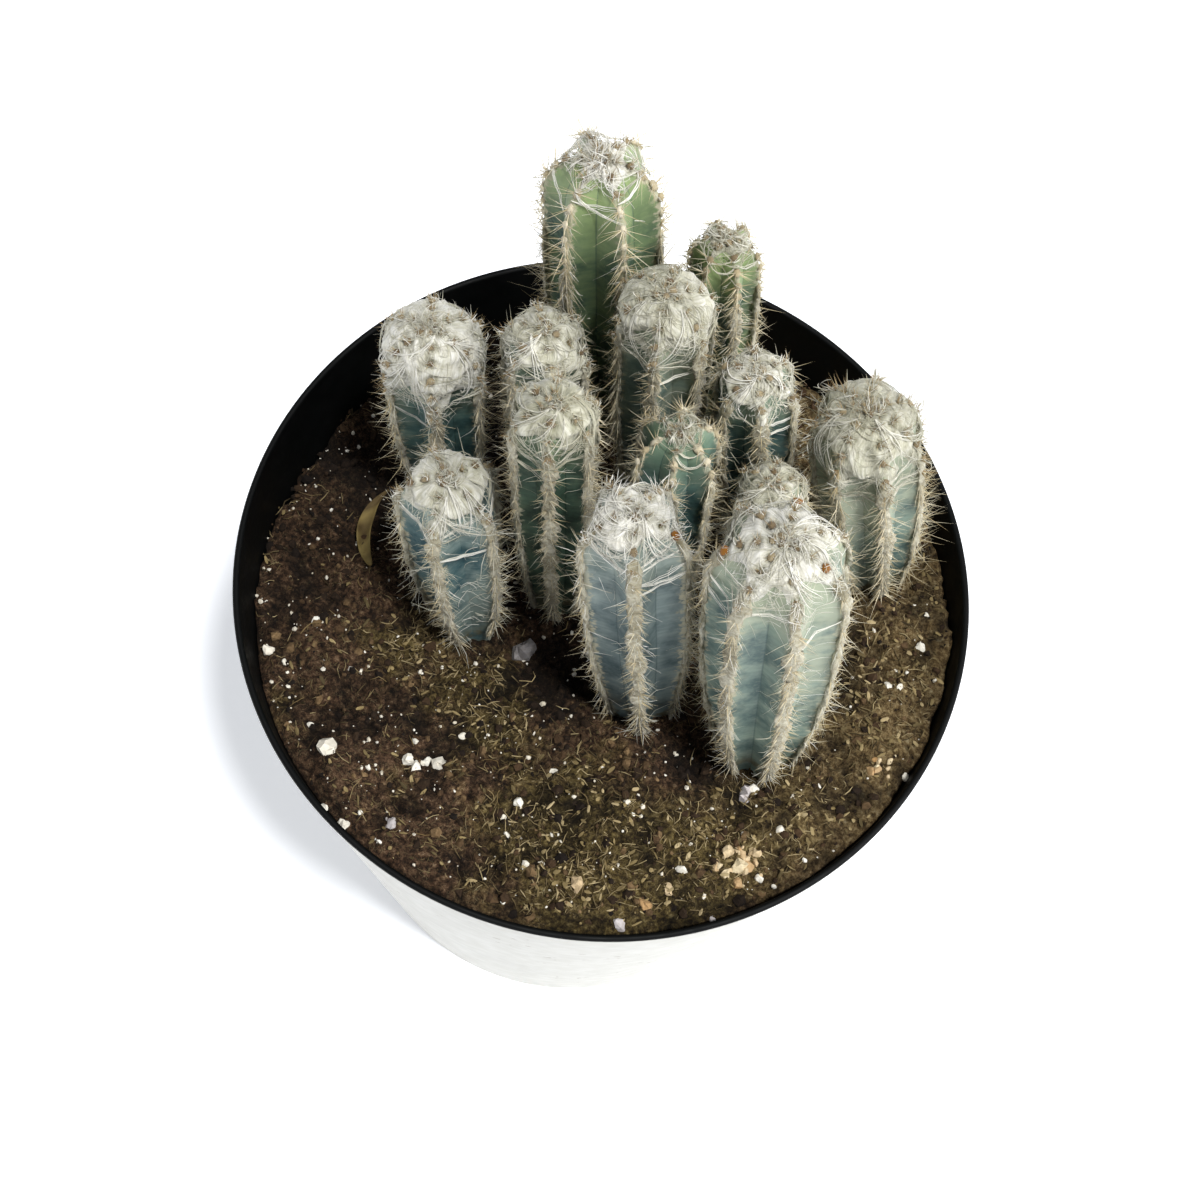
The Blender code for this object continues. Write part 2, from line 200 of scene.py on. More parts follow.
def product(tree: NodeTree, first: NodeSocket,
            second: NodeSocket | float) -> NodeSocket:
    """Multiply two values of a shader tree and return the result."""
    return add_node(tree, "ShaderNodeMath", {0: first, 1: second}, operation="MULTIPLY").outputs["Value"]


def blend_colours(tree: NodeTree, factor: NodeSocket | float,
                  first: NodeSocket | tuple, second: NodeSocket | tuple) -> NodeSocket:
    """Mix two colours by a factor and return the result."""
    mixed = add_node(tree, "ShaderNodeMix", {0: factor, 6: first, 7: second}, data_type="RGBA")
    return mixed.outputs[2]


def add_bump(tree: NodeTree, shader: Node, height: NodeSocket,
             depth_mm: float, strength: float = 1.0) -> None:
    """Give a shader fine relief.

    Args:
        tree: The material's node tree.
        shader: The Principled shader.
        height: The relief's height pattern.
        depth_mm: Real depth of the relief, in millimetres.
        strength: How much of it is used.
    """
    bump = add_node(tree, "ShaderNodeBump", {"Height": height, "Distance": depth_mm * MM, "Strength": strength})
    tree.links.new(bump.outputs["Normal"], shader.inputs["Normal"])


def object_from_arrays(name: str, points: ndarray, faces: ndarray | None = None,
                       edges: ndarray | None = None, marks: dict[str, ndarray] | None = None
                       ) -> Object:
    """Make a mesh object from arrays.

    Args:
        name: The object's name.
        points: Places of the vertices, n by 3.
        faces: Vertex numbers of each face, m by 3 or m by 4.
        edges: Vertex numbers of each loose edge, m by 2.
        marks: Point attributes, one value or one vector for each vertex.

    Returns:
        The new object, linked to the scene.
    """
    mesh = bpy.data.meshes.new(name)
    lines, sides = ([] if group is None else group.tolist() for group in (edges, faces))
    mesh.from_pydata(points.tolist(), lines, sides)
    for mark, values in (marks or {}).items():
        kind = "FLOAT_VECTOR" if values.ndim == 2 else "FLOAT"
        layer = mesh.attributes.new(mark, kind, "POINT")
        layer.data.foreach_set("vector" if values.ndim == 2 else "value", values.astype(np.float32).ravel())
    item = bpy.data.objects.new(name, mesh)
    bpy.context.scene.collection.objects.link(item)
    return item


def lattice_faces(rows: int, around: int) -> ndarray:
    """Number the quads of a closed tube of points, row by row from the bottom, facing outwards.

    Args:
        rows: How many rings of points there are.
        around: How many points each ring has, anticlockwise from above.

    Returns:
        Vertex numbers of each quad.
    """
    row, step = np.meshgrid(np.arange(rows - 1), np.arange(around), indexing="ij")
    here, beside = row * around + step, row * around + (step + 1) % around
    return np.stack([here, beside, beside + around, here + around], axis=-1).reshape(-1, 4)


def seal_ends(item: Object) -> None:
    """Close every open edge loop of a mesh and turn all its faces outwards.

    Args:
        item: The object, whose mesh is changed.
    """
    shape = bmesh.new()
    shape.from_mesh(item.data)
    open_edges = [edge for edge in shape.edges if edge.is_boundary]
    bmesh.ops.holes_fill(shape, edges=open_edges, sides=0)
    bmesh.ops.triangulate(shape, faces=[face for face in shape.faces if len(face.verts) > 4])
    bmesh.ops.recalc_face_normals(shape, faces=shape.faces)
    shape.to_mesh(item.data)
    shape.free()


def socket_identifier(tree: NodeTree, name: str) -> str:
    """Find the identifier of a modifier tree's input by its name."""
    return next(entry.identifier for entry in tree.interface.items_tree
                if entry.in_out == "INPUT" and entry.name == name)


def grow(item: Object, tree: NodeTree, values: dict) -> Object:
    """Run a Geometry Nodes tree on an object and keep the result as its plain mesh.

    Args:
        item: The object that holds the tree's starting mesh.
        tree: The Geometry Nodes tree.
        values: Input name to value.

    Returns:
        The same object with the finished mesh.
    """
    grower = item.modifiers.new("grow", "NODES")
    grower.node_group = tree
    for name, value in values.items():
        grower[socket_identifier(tree, name)] = value
    graph = bpy.context.evaluated_depsgraph_get()
    finished = bpy.data.meshes.new_from_object(item.evaluated_get(graph))
    item.modifiers.remove(grower)
    item.data = finished
    finished.name = item.name
    return item


def ripple(points: ndarray, pitch_mm: float, seed: int) -> ndarray:
    """Give smooth irregular values over space, the sum of a few plane waves.

    Args:
        points: Places, n by 3, in metres.
        pitch_mm: Usual distance between crests, in millimetres.
        seed: Number that fixes the waves.

    Returns:
        One value a point, about -1 to 1.
    """
    draw = np.random.default_rng(seed)
    total = np.zeros(len(points))
    waves = 6
    for _ in range(waves):
        way = draw.normal(size=3)
        way *= math.tau / (pitch_mm * MM * draw.uniform(0.7, 1.5)) / np.linalg.norm(way)
        total += np.sin(points @ way + draw.uniform(0, math.tau))
    return total / math.sqrt(waves)


def unit(vectors: ndarray) -> ndarray:
    """Scale vectors to length 1."""
    return vectors / np.maximum(np.linalg.norm(vectors, axis=-1, keepdims=True), 1e-12)


# Geometry Nodes trees for what repeats

def new_growth_tree(name: str, sockets: dict[str, str]) -> tuple[NodeTree, Node]:
    """Start a Geometry Nodes tree with named inputs and one geometry output.

    Args:
        name: The tree's name.
        sockets: Input name to socket type, after the geometry input.

    Returns:
        The tree and its input node.
    """
    tree = bpy.data.node_groups.new(name, "GeometryNodeTree")
    tree.interface.new_socket("Geometry", in_out="INPUT", socket_type="NodeSocketGeometry")
    for socket, kind in sockets.items():
        tree.interface.new_socket(socket, in_out="INPUT", socket_type=kind)
    tree.interface.new_socket("Geometry", in_out="OUTPUT", socket_type="NodeSocketGeometry")
    return tree, add_node(tree, "NodeGroupInput")


def end_growth_tree(tree: NodeTree, geometry: NodeSocket,
                    finish: NodeSocket, smooth: NodeSocket | bool) -> None:
    """End a tree in shading, Realize Instances and Set Material.

    Args:
        tree: The tree.
        geometry: What has been grown.
        finish: The material input.
        smooth: Whether the faces are shaded smooth.
    """
    real = add_node(tree, "GeometryNodeRealizeInstances", {"Geometry": geometry})
    shaded = add_node(tree, "GeometryNodeSetShadeSmooth", {
        "Geometry": real.outputs["Geometry"], "Shade Smooth": smooth})
    dressed = add_node(tree, "GeometryNodeSetMaterial", {
        "Geometry": shaded.outputs["Geometry"], "Material": finish})
    add_node(tree, "NodeGroupOutput", {"Geometry": dressed.outputs["Geometry"]})


def attribute_of(tree: NodeTree, name: str, kind: str = "FLOAT") -> NodeSocket:
    """Read a named attribute in a Geometry Nodes tree."""
    mark = add_node(tree, "GeometryNodeInputNamedAttribute", {"Name": name}, data_type=kind)
    return mark.outputs["Attribute"]


def strand_tree() -> NodeTree:
    """Build the tree that sweeps a few-sided tube along each path, as thick as its girth attribute says.

    Returns:
        The tree.
    """
    tree, start = new_growth_tree("strands_along_paths", {
        "Sides": "NodeSocketInt", "Finish": "NodeSocketMaterial"})
    paths = add_node(tree, "GeometryNodeMeshToCurve", {"Mesh": start.outputs["Geometry"]})
    sized = add_node(tree, "GeometryNodeSetCurveRadius", {
        "Curve": paths.outputs["Curve"], "Radius": attribute_of(tree, "girth")})
    ring = add_node(tree, "GeometryNodeCurvePrimitiveCircle", {
        "Resolution": start.outputs["Sides"], "Radius": 1.0}, mode="RADIUS")
    tubes = add_node(tree, "GeometryNodeCurveToMesh", {
        "Curve": sized.outputs["Curve"], "Profile Curve": ring.outputs["Curve"],
        "Scale": attribute_of(tree, "girth"), "Fill Caps": True})
    end_growth_tree(tree, tubes.outputs["Mesh"], start.outputs["Finish"], smooth=True)
    return tree


def needle_tree() -> NodeTree:
    """Build the tree that stands a slim pyramid on each point, along its aim attribute.

    Returns:
        The tree.
    """
    tree, start = new_growth_tree("needles_on_points", {
        "Sides": "NodeSocketInt", "Finish": "NodeSocketMaterial"})
    needle = add_node(tree, "GeometryNodeMeshCone", {
        "Vertices": start.outputs["Sides"], "Radius Top": 0.0, "Radius Bottom": 1.0, "Depth": 1.0},
        fill_type="NGON")
    turned = add_node(tree, "FunctionNodeAlignRotationToVector", {
        "Vector": attribute_of(tree, "aim", "FLOAT_VECTOR")}, axis="Z")
    girth = attribute_of(tree, "girth")
    size = add_node(tree, "ShaderNodeCombineXYZ", {"X": girth, "Y": girth, "Z": attribute_of(tree, "reach")})
    stood = add_node(tree, "GeometryNodeInstanceOnPoints", {
        "Points": start.outputs["Geometry"], "Instance": needle.outputs["Mesh"],
        "Rotation": turned.outputs["Rotation"], "Scale": size.outputs["Vector"]})
    end_growth_tree(tree, stood.outputs["Instances"], start.outputs["Finish"], smooth=False)
    return tree


def cushion_tree() -> NodeTree:
    """Build the tree that sets a lumpy cushion on each point, flattened along its aim attribute.

    Returns:
        The tree.
    """
    tree, start = new_growth_tree("cushions_on_points", {
        "Lumpiness": "NodeSocketFloat", "Lump Scale": "NodeSocketFloat", "Detail": "NodeSocketInt",
        "Smooth": "NodeSocketBool", "Finish": "NodeSocketMaterial"})
    ball = add_node(tree, "GeometryNodeMeshIcoSphere", {"Radius": 1.0, "Subdivisions": start.outputs["Detail"]})
    faced = add_node(tree, "FunctionNodeAlignRotationToVector", {
        "Vector": attribute_of(tree, "aim", "FLOAT_VECTOR")}, axis="Z")
    turned = add_node(tree, "FunctionNodeAlignRotationToVector", {
        "Rotation": faced.outputs["Rotation"], "Vector": attribute_of(tree, "lie", "FLOAT_VECTOR")},
        axis="Y", pivot_axis="Z")
    stood = add_node(tree, "GeometryNodeInstanceOnPoints", {
        "Points": start.outputs["Geometry"], "Instance": ball.outputs["Mesh"],
        "Rotation": turned.outputs["Rotation"], "Scale": attribute_of(tree, "size", "FLOAT_VECTOR")})
    real = add_node(tree, "GeometryNodeRealizeInstances", {"Geometry": stood.outputs["Instances"]})
    pattern = add_node(tree, "ShaderNodeTexNoise", {"Scale": start.outputs["Lump Scale"], "Detail": 2.0})
    centred = add_node(tree, "ShaderNodeVectorMath", {
        0: pattern.outputs["Color"], 1: (0.5, 0.5, 0.5)}, operation="SUBTRACT")
    extent = add_node(tree, "ShaderNodeVectorMath", {0: attribute_of(tree, "size", "FLOAT_VECTOR")},
                      operation="LENGTH")
    depth = add_node(tree, "ShaderNodeMath", {
        0: extent.outputs["Value"], 1: start.outputs["Lumpiness"]}, operation="MULTIPLY")
    push = add_node(tree, "ShaderNodeVectorMath", {
        0: centred.outputs["Vector"], "Scale": depth.outputs["Value"]}, operation="SCALE")
    lumpy = add_node(tree, "GeometryNodeSetPosition", {
        "Geometry": real.outputs["Geometry"], "Offset": push.outputs["Vector"]})
    end_growth_tree(tree, lumpy.outputs["Geometry"], start.outputs["Finish"], start.outputs["Smooth"])
    return tree


STRAND_TREE, NEEDLE_TREE, CUSHION_TREE = strand_tree(), needle_tree(), cushion_tree()
STRAND_SIDES = 3


def sweep_strands(name: str, paths: ndarray, girth: ndarray, finish: Material,
                  tint: ndarray) -> Object:
    """Turn paths into fine tapering tubes in one mesh.

    Args:
        name: The piece's name.
        paths: Places, strands by points by 3.
        girth: Tube radius at each point, strands by points.
        finish: The strands' material.
        tint: One shade a strand, from 0 to 1, for the material.

    Returns:
        The finished piece.
    """
    strands, steps = paths.shape[:2]
    first = (np.arange(strands)[:, None] * steps + np.arange(steps - 1)[None]).ravel()
    item = object_from_arrays(name, paths.reshape(-1, 3), edges=np.stack([first, first + 1], axis=-1), marks={
        "girth": girth.ravel(), "tint": np.repeat(tint, steps)})
    return grow(item, STRAND_TREE, {"Sides": STRAND_SIDES, "Finish": finish})


def stand_needles(name: str, roots: ndarray, aim: ndarray, reach: ndarray, girth: ndarray,
                  finish: Material, tint: ndarray) -> Object:
    """Stand a slim needle on each root, in one mesh.

    Args:
        name: The piece's name.
        roots: Places of the needles' feet, n by 3.
        aim: Directions, n by 3.
        reach: Lengths in metres.
        girth: Foot radii in metres.
        finish: The needles' material.
        tint: One shade a needle, from 0 to 1.

    Returns:
        The finished piece.
    """
    item = object_from_arrays(name, roots, marks={"aim": aim, "reach": reach, "girth": girth, "tint": tint})
    return grow(item, NEEDLE_TREE, {"Sides": STRAND_SIDES, "Finish": finish})


def set_cushions(name: str, places: ndarray, aim: ndarray, size: ndarray, tint: ndarray,
                 finish: Material, lumpiness: float, lump_pitch_mm: float, detail: int,
                 lie: ndarray | None = None, smooth: bool = True) -> Object:
    """Set a lumpy pad, grain or crumb on each place, in one mesh.

    Args:
        name: The piece's name.
        places: Centres, n by 3.
        aim: Direction that each faces, n by 3.
        size: Half sizes along the pad's own axes, n by 3, in metres.
        tint: One shade a pad, from 0 to 1.
        finish: The pads' material.
        lumpiness: How far lumps stand out, as a share of the pad's size.
        lump_pitch_mm: Distance between lumps, in millimetres.
        detail: Subdivisions of each ball.
        lie: Direction of each pad's second axis, where it matters.
        smooth: Whether the faces are shaded smooth; broken grains are not.

    Returns:
        The finished piece.
    """
    marks = {"aim": aim, "size": size, "tint": tint}
    if lie is not None:
        marks["lie"] = lie
    item = object_from_arrays(name, places, marks=marks)
    return grow(item, CUSHION_TREE, {
        "Lumpiness": lumpiness, "Lump Scale": 1 / (lump_pitch_mm * MM), "Detail": detail, "Smooth": smooth,
        "Finish": finish})


def keep_piece(item: Object, stands_for: str | None = None) -> Object:
    """Fix a finished piece to the part and report it.

    Args:
        item: The piece, its place in its mesh.
        stands_for: The CAD node that it replaces, if any.

    Returns:
        The piece.
    """
    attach(item, BODY)
    if stands_for:
        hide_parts(stands_for)
    item.data.calc_loop_triangles()
    LOG.info("%s: %d triangles", item.name, len(item.data.loop_triangles))
    return item


def keep_loft(name: str, points: ndarray, faces: ndarray, marks: dict[str, ndarray], finish: Material,
              stands_for: str | None = None) -> Object:
    """Make a piece from rings of points, seal its ends, dress it smooth in one finish and keep it.

    Args:
        name: The piece's name.
        points: Places of the vertices, n by 3.
        faces: Vertex numbers of each quad.
        marks: Point attributes for the finish.
        finish: The material.
        stands_for: The CAD node that it replaces, if any.

    Returns:
        The piece.
    """
    item = object_from_arrays(name, points, faces=faces, marks=marks)
    seal_ends(item)
    item.data.materials.append(finish)
    item.data.shade_smooth()
    return keep_piece(item, stands_for)


# Finishes

@dataclass(frozen=True)
class SkinTone:
    """Waxy cactus skin: a blue-white bloom over green flesh, corky at the soil and fresh at the crown."""

    name: str
    bloom: str
    flesh: str
    fresh: str
    slot: str
    cork: str = "#5f5a42"
    felt: str = "#b7b198"
    film: str = "#a7b19c"
    roughness: float = 0.5
    felt_roughness: float = 0.95
    wax_ior: float = 1.4

    def make(self) -> Material:
        """Make the skin material, which reads the stem's crest, rise, haze and flow attributes.

        Returns:
            The material.
        """
        made, tree, shader = blank_material(self.name, {"IOR": self.wax_ior})
        crest, rise, haze = (add_node(tree, "ShaderNodeAttribute", attribute_name=mark).outputs["Fac"]
                             for mark in ("crest", "rise", "haze"))
        # Bloom is rubbed thin in soft patches about a rib wide
        patches = stretch(tree, noise_pattern(tree, 8.0, 4.0), 0.34, 0.66)
        colour = blend_colours(tree, patches, linear(self.flesh), linear(self.bloom))
        # Growth of each season leaves faint bands across the stem
        bands = add_node(tree, "ShaderNodeTexNoise", {"W": product(tree, rise, 14.0)}, noise_dimensions="1D")
        banding = stretch(tree, bands.outputs["Fac"], 0.4, 0.6, 0.0, 0.2)
        grain = stretch(tree, noise_pattern(tree, 0.9, 3.0), 0.4, 0.7, 0.0, 0.3)
        # The youngest growth at the crown is greener, and the valleys are painted darker towards the flesh
        # colour as painted shade in the creases
        fresh = stretch(tree, rise, 0.72, 1.0, 0.0, 0.8)
        valley = stretch(tree, crest, 0.0, 0.07, 0.55, 0.0)
        cork = product(tree, stretch(tree, rise, 0.02, 0.16, 1.0, 0.0),
                       stretch(tree, noise_pattern(tree, 3.0), 0.4, 0.6))
        # Felt runs along each crest, ragged at its edge
        ragged = add_node(tree, "ShaderNodeMath", {
            0: crest, 1: stretch(tree, noise_pattern(tree, 1.2), 0.3, 0.7, -0.1, 0.1)}, operation="ADD")
        felt = stretch(tree, ragged.outputs["Value"], 0.76, 0.9)
        # Wool too fine to see singly lies over the skin as a pale torn film
        strands = stretch(tree, noise_pattern(tree, 0.7, 3.0, 0.6, flow=True), 0.35, 0.65, -0.09, 0.04)
        patchy = stretch(tree, noise_pattern(tree, 3.5, 4.0, 0.6), 0.3, 0.7, -0.35, 0.12)
        torn = add_node(tree, "ShaderNodeMath", {0: strands, 1: patchy}, operation="ADD")
        laid = add_node(tree, "ShaderNodeMath", {0: haze, 1: torn.outputs["Value"]}, operation="ADD")
        film = stretch(tree, laid.outputs["Value"], 0.0, 0.9, 0.0, 0.8)
        for mask, tone in ((banding, self.flesh), (grain, self.bloom), (fresh, self.fresh),
                           (valley, self.flesh), (cork, self.cork), (felt, self.felt), (film, self.film)):
            colour = blend_colours(tree, mask, colour, linear(tone))
        tree.links.new(colour, shader.inputs["Base Color"])
        tree.links.new(stretch(tree, felt, 0.0, 1.0, self.roughness, self.felt_roughness),
                       shader.inputs["Roughness"])
        add_bump(tree, shader, noise_pattern(tree, 0.6, 4.0), 0.05, 0.5)
        return made


@dataclass(frozen=True)
class FibreFinish:
    """Dry matt fibre, felt or mineral: each strand or grain has its own shade from one run of colours."""

    name: str
    colours: tuple[str, ...]
    roughness: float
    sheen: float = 0.0
    grain_mm: float = 1.0
    grain_strength: float = 0.3
    relief_mm: float = 0.0
    combed_mm: float = 0.0
    soiling: str = "#a49a7e"
    specular: float = 0.3

    def make(self) -> Material:
        """Make the material, which reads the tint attribute, and the flow attribute where it is combed.

        Returns:
            The material.
        """
        made, tree, shader = blank_material(self.name, {
            "Roughness": self.roughness, "Specular IOR Level": self.specular, "Sheen Weight": self.sheen})
        tint = add_node(tree, "ShaderNodeAttribute", attribute_name="tint").outputs["Fac"]
        places = np.linspace(0, 1, len(self.colours))
        if self.combed_mm:
            # Combed hairs lie side by side, each lighter or darker than the next
            combed = noise_pattern(tree, self.combed_mm, 3.0, 0.65, flow=True)
            tint = add_node(tree, "ShaderNodeMath", {
                0: tint, 1: stretch(tree, combed, 0.3, 0.7, -0.17, 0.13)}, operation="ADD").outputs["Value"]
            add_bump(tree, shader, combed, self.relief_mm)
        colour = colour_ramp(tree, tint, list(zip(places, self.colours)))
        patches = stretch(tree, noise_pattern(tree, self.grain_mm), 0.35, 0.65, 0.0, self.grain_strength)
        soiled = add_node(tree, "ShaderNodeMix", {0: patches, 6: colour, 7: linear(self.soiling)},
                          data_type="RGBA", blend_type="MULTIPLY").outputs[2]
        tree.links.new(soiled, shader.inputs["Base Color"])
        if self.relief_mm and not self.combed_mm:
            add_bump(tree, shader, noise_pattern(tree, self.grain_mm / 2, 4.0), self.relief_mm)
        return made


@dataclass(frozen=True)
class PeatFinish:
    """Moist peat: dark crumbs with pale root threads, olive with moss, painted lighter on the right side where
    the lamps fall, and painted near black with shade among the stems and in the cracks.
    """

    name: str = "moist_peat_with_moss"
    peat: tuple[str, str, str, str] = ("#0d0805", "#3f2d1f", "#715640", "#b89c7a")
    moss: tuple[str, str, str, str] = ("#140f07", "#4a3c21", "#7f6d41", "#c6b37f")
    crust: tuple[str, str, str, str] = ("#22190e", "#6c5737", "#a18a60", "#dccba2")
    fibre: str = "#a8956f"
    wet: str = "#0b0805"
    stops: tuple[float, float, float, float] = (0.34, 0.47, 0.58, 0.73)
    crumb_mm: float = 1.3
    relief_mm: float = 2.2
    roughness: float = 0.95
    specular: float = 0.2

    def make(self) -> Material:
        """Make the soil material, which reads the soil's moss attribute, its dry attribute of painted light and
        its attribute of painted shade.

        Returns:
            The material.
        """
        made, tree, shader = blank_material(self.name, {
            "Roughness": self.roughness, "Specular IOR Level": self.specular})
        crumbs = noise_pattern(tree, self.crumb_mm, 6.0, 0.75)
        peat, moss, crust = (colour_ramp(tree, crumbs, list(zip(self.stops, run)))
                             for run in (self.peat, self.moss, self.crust))
        mossy, dry, painted_shade = (add_node(tree, "ShaderNodeAttribute", attribute_name=mark).outputs["Fac"]
                            for mark in ("moss", "dry", "painted_shade"))
        colour = blend_colours(tree, mossy, peat, moss)
        # Painted light: the right side, where the lamps fall, is painted in a lighter peat run
        colour = blend_colours(tree, product(tree, dry, 0.95), colour, crust)
        # Fine root fibres show as thin pale lines that wind between the crumbs
        for size_mm, strength in ((1.7, 0.55), (0.8, 0.4)):
            colour = blend_colours(tree, self.threads(tree, size_mm, strength), colour, linear(self.fibre))
        # Painted shade: the peat is darkened to near black among the stems and in the cracks
        colour = blend_colours(tree, product(tree, painted_shade, 0.85), colour, linear(self.wet))
        tree.links.new(colour, shader.inputs["Base Color"])
        add_bump(tree, shader, crumbs, self.relief_mm)
        return made

    def threads(self, tree: NodeTree, size_mm: float, strength: float) -> NodeSocket:
        """Give thin winding lines where a noise crosses its middle value.

        Args:
            tree: The material's node tree.
            size_mm: Size of the loops.
            strength: Value on the lines.

        Returns:
            The line mask.
        """
        centred = add_node(tree, "ShaderNodeMath", {
            0: noise_pattern(tree, size_mm, 2.0), 1: 0.5}, operation="SUBTRACT")
        away = add_node(tree, "ShaderNodeMath", {0: centred.outputs["Value"]}, operation="ABSOLUTE")
        lines = stretch(tree, away.outputs["Value"], 0.0, 0.016, 1.0, 0.0)
        broken = stretch(tree, noise_pattern(tree, 3 * size_mm), 0.45, 0.6, 0.0, strength)
        return product(tree, lines, broken)


@dataclass(frozen=True)
class PotPlastic:
    """Thermoformed polypropylene sheet, satin, with soft mould haze and specks of soil."""

    name: str
    colour: str
    haze: str
    roughness: float
    speck: str = "#6b5842"
    speck_share: float = 0.0
    specular: float = 0.5

    def make(self) -> Material:
        """Make the plastic material.

        Returns:
            The material.
        """
        made, tree, shader = blank_material(self.name, {"Specular IOR Level": self.specular})
        haze = stretch(tree, noise_pattern(tree, 30.0, 4.0), 0.35, 0.7, 0.0, 0.5)
        colour = blend_colours(tree, haze, linear(self.colour), linear(self.haze))
        if self.speck_share:
            dots = stretch(tree, noise_pattern(tree, 2.2, 1.0), 0.7, 0.74)
            crowd = stretch(tree, noise_pattern(tree, 25.0, 2.0), 0.5, 0.62, 0.0, self.speck_share)
            colour = blend_colours(tree, product(tree, dots, crowd), colour, linear(self.speck))
        tree.links.new(colour, shader.inputs["Base Color"])
        tree.links.new(stretch(tree, noise_pattern(tree, 4.0, 5.0), 0.3, 0.7, self.roughness - 0.06,
                               self.roughness + 0.08), shader.inputs["Roughness"])
        add_bump(tree, shader, noise_pattern(tree, 1.2, 3.0), 0.01, 0.4)
        return made


@cache
def material_of(finish: SkinTone | FibreFinish | PeatFinish | PotPlastic) -> Material:
    """Return a finish's material, which is made on first use."""
    return finish.make()


BLUE = SkinTone("blue_grey_cactus_skin", "#7f8e8c", "#42565b", "#8a9b7d", "blue_cactus_skin",
                film="#9da8a1")
MARINE = SkinTone("blue_green_cactus_skin", "#6a8583", "#30525a", "#7f9678", "blue_cactus_skin",
                  film="#93a29a")
TEAL = SkinTone("teal_cactus_skin", "#5b7a75", "#284648", "#788c6c", "blue_cactus_skin",
                film="#8c9b89")
SAGE = SkinTone("sage_cactus_skin", "#84978a", "#425b5a", "#94a57d", "sage_cactus_skin",
                film="#a9af98")
GREEN = SkinTone("yellow_green_cactus_skin", "#7b9069", "#34504a", "#9db072", "green_cactus_skin",
                 film="#8f9b78")
DARK = SkinTone("dark_green_cactus_skin", "#445e4d", "#1a2f24", "#5d785a", "green_cactus_skin",
                film="#76856a")
STRAW_SPINE = FibreFinish("straw_spine", ("#8d7048", "#bfae86", "#e6dcc0"), 0.5, grain_mm=2.0,
                          grain_strength=0.15)
SILK_WOOL = FibreFinish("silky_cactus_wool", ("#857f66", "#bfbca5", "#eeece3"), 0.8, sheen=0.2, grain_mm=4.0,
                        grain_strength=0.15)
AREOLE_FELT = FibreFinish("areole_felt", ("#8f5e20", "#625038", "#b3a585", "#ddd5be"), 0.95, sheen=0.2,
                          grain_mm=1.2, relief_mm=0.2)
RIB_FELT = FibreFinish("rib_felt", ("#645e46", "#a39c82", "#cdc8b3"), 0.95, sheen=0.2, grain_mm=1.1,
                       grain_strength=0.6, relief_mm=0.45)
CROWN_FELT = FibreFinish("matted_crown_wool", ("#6b6047", "#9b9a82", "#c6c4b1", "#ebe9e0"), 0.95, sheen=0.3,
                         grain_mm=1.6, grain_strength=0.25, relief_mm=0.6, combed_mm=0.7)
PERLITE_WHITE = FibreFinish("expanded_perlite", ("#c4b8a0", "#f4f0e4"), 0.9, grain_strength=0.15,
                            relief_mm=0.12)
TAN_CRUMB = FibreFinish("weathered_tan_crumb", ("#a98150", "#eadbb8"), 0.9, grain_mm=0.8, relief_mm=0.15)
GREY_PUMICE = FibreFinish("grey_pumice", ("#6f6c6b", "#c9c2c2"), 0.9, grain_mm=0.8, relief_mm=0.2)
PEAT_CRUMB = FibreFinish("peat_crumb", ("#150d07", "#4a3724", "#8a7150"), 0.95, grain_mm=0.6,
                         grain_strength=0.5, relief_mm=0.25)
MOSS_STRAND = FibreFinish("moss_and_root_fibre", ("#2a2114", "#766544", "#b7a57c"), 0.85, grain_mm=2.0)
MOSS_FLAKE = FibreFinish("dry_moss_flake", ("#2b2214", "#5f5235", "#8f7d55", "#b8a680"), 0.9, grain_mm=1.5)
STRAW_STRAND = FibreFinish("dry_straw", ("#7d653c", "#d3c193"), 0.7, grain_mm=3.0)
LEAF_BLADE = FibreFinish("dry_leaf_blade", ("#5a4a2c", "#96834f"), 0.75, grain_mm=2.5, relief_mm=0.1)
PEAT = PeatFinish()
WHITE_PLASTIC = PotPlastic("white_polypropylene", "#bcbab1", "#b1afa6", 0.45, speck_share=0.8)
BLACK_PLASTIC = PotPlastic("black_polypropylene", "#030404", "#070808", 0.58, specular=0.15)


# Pot

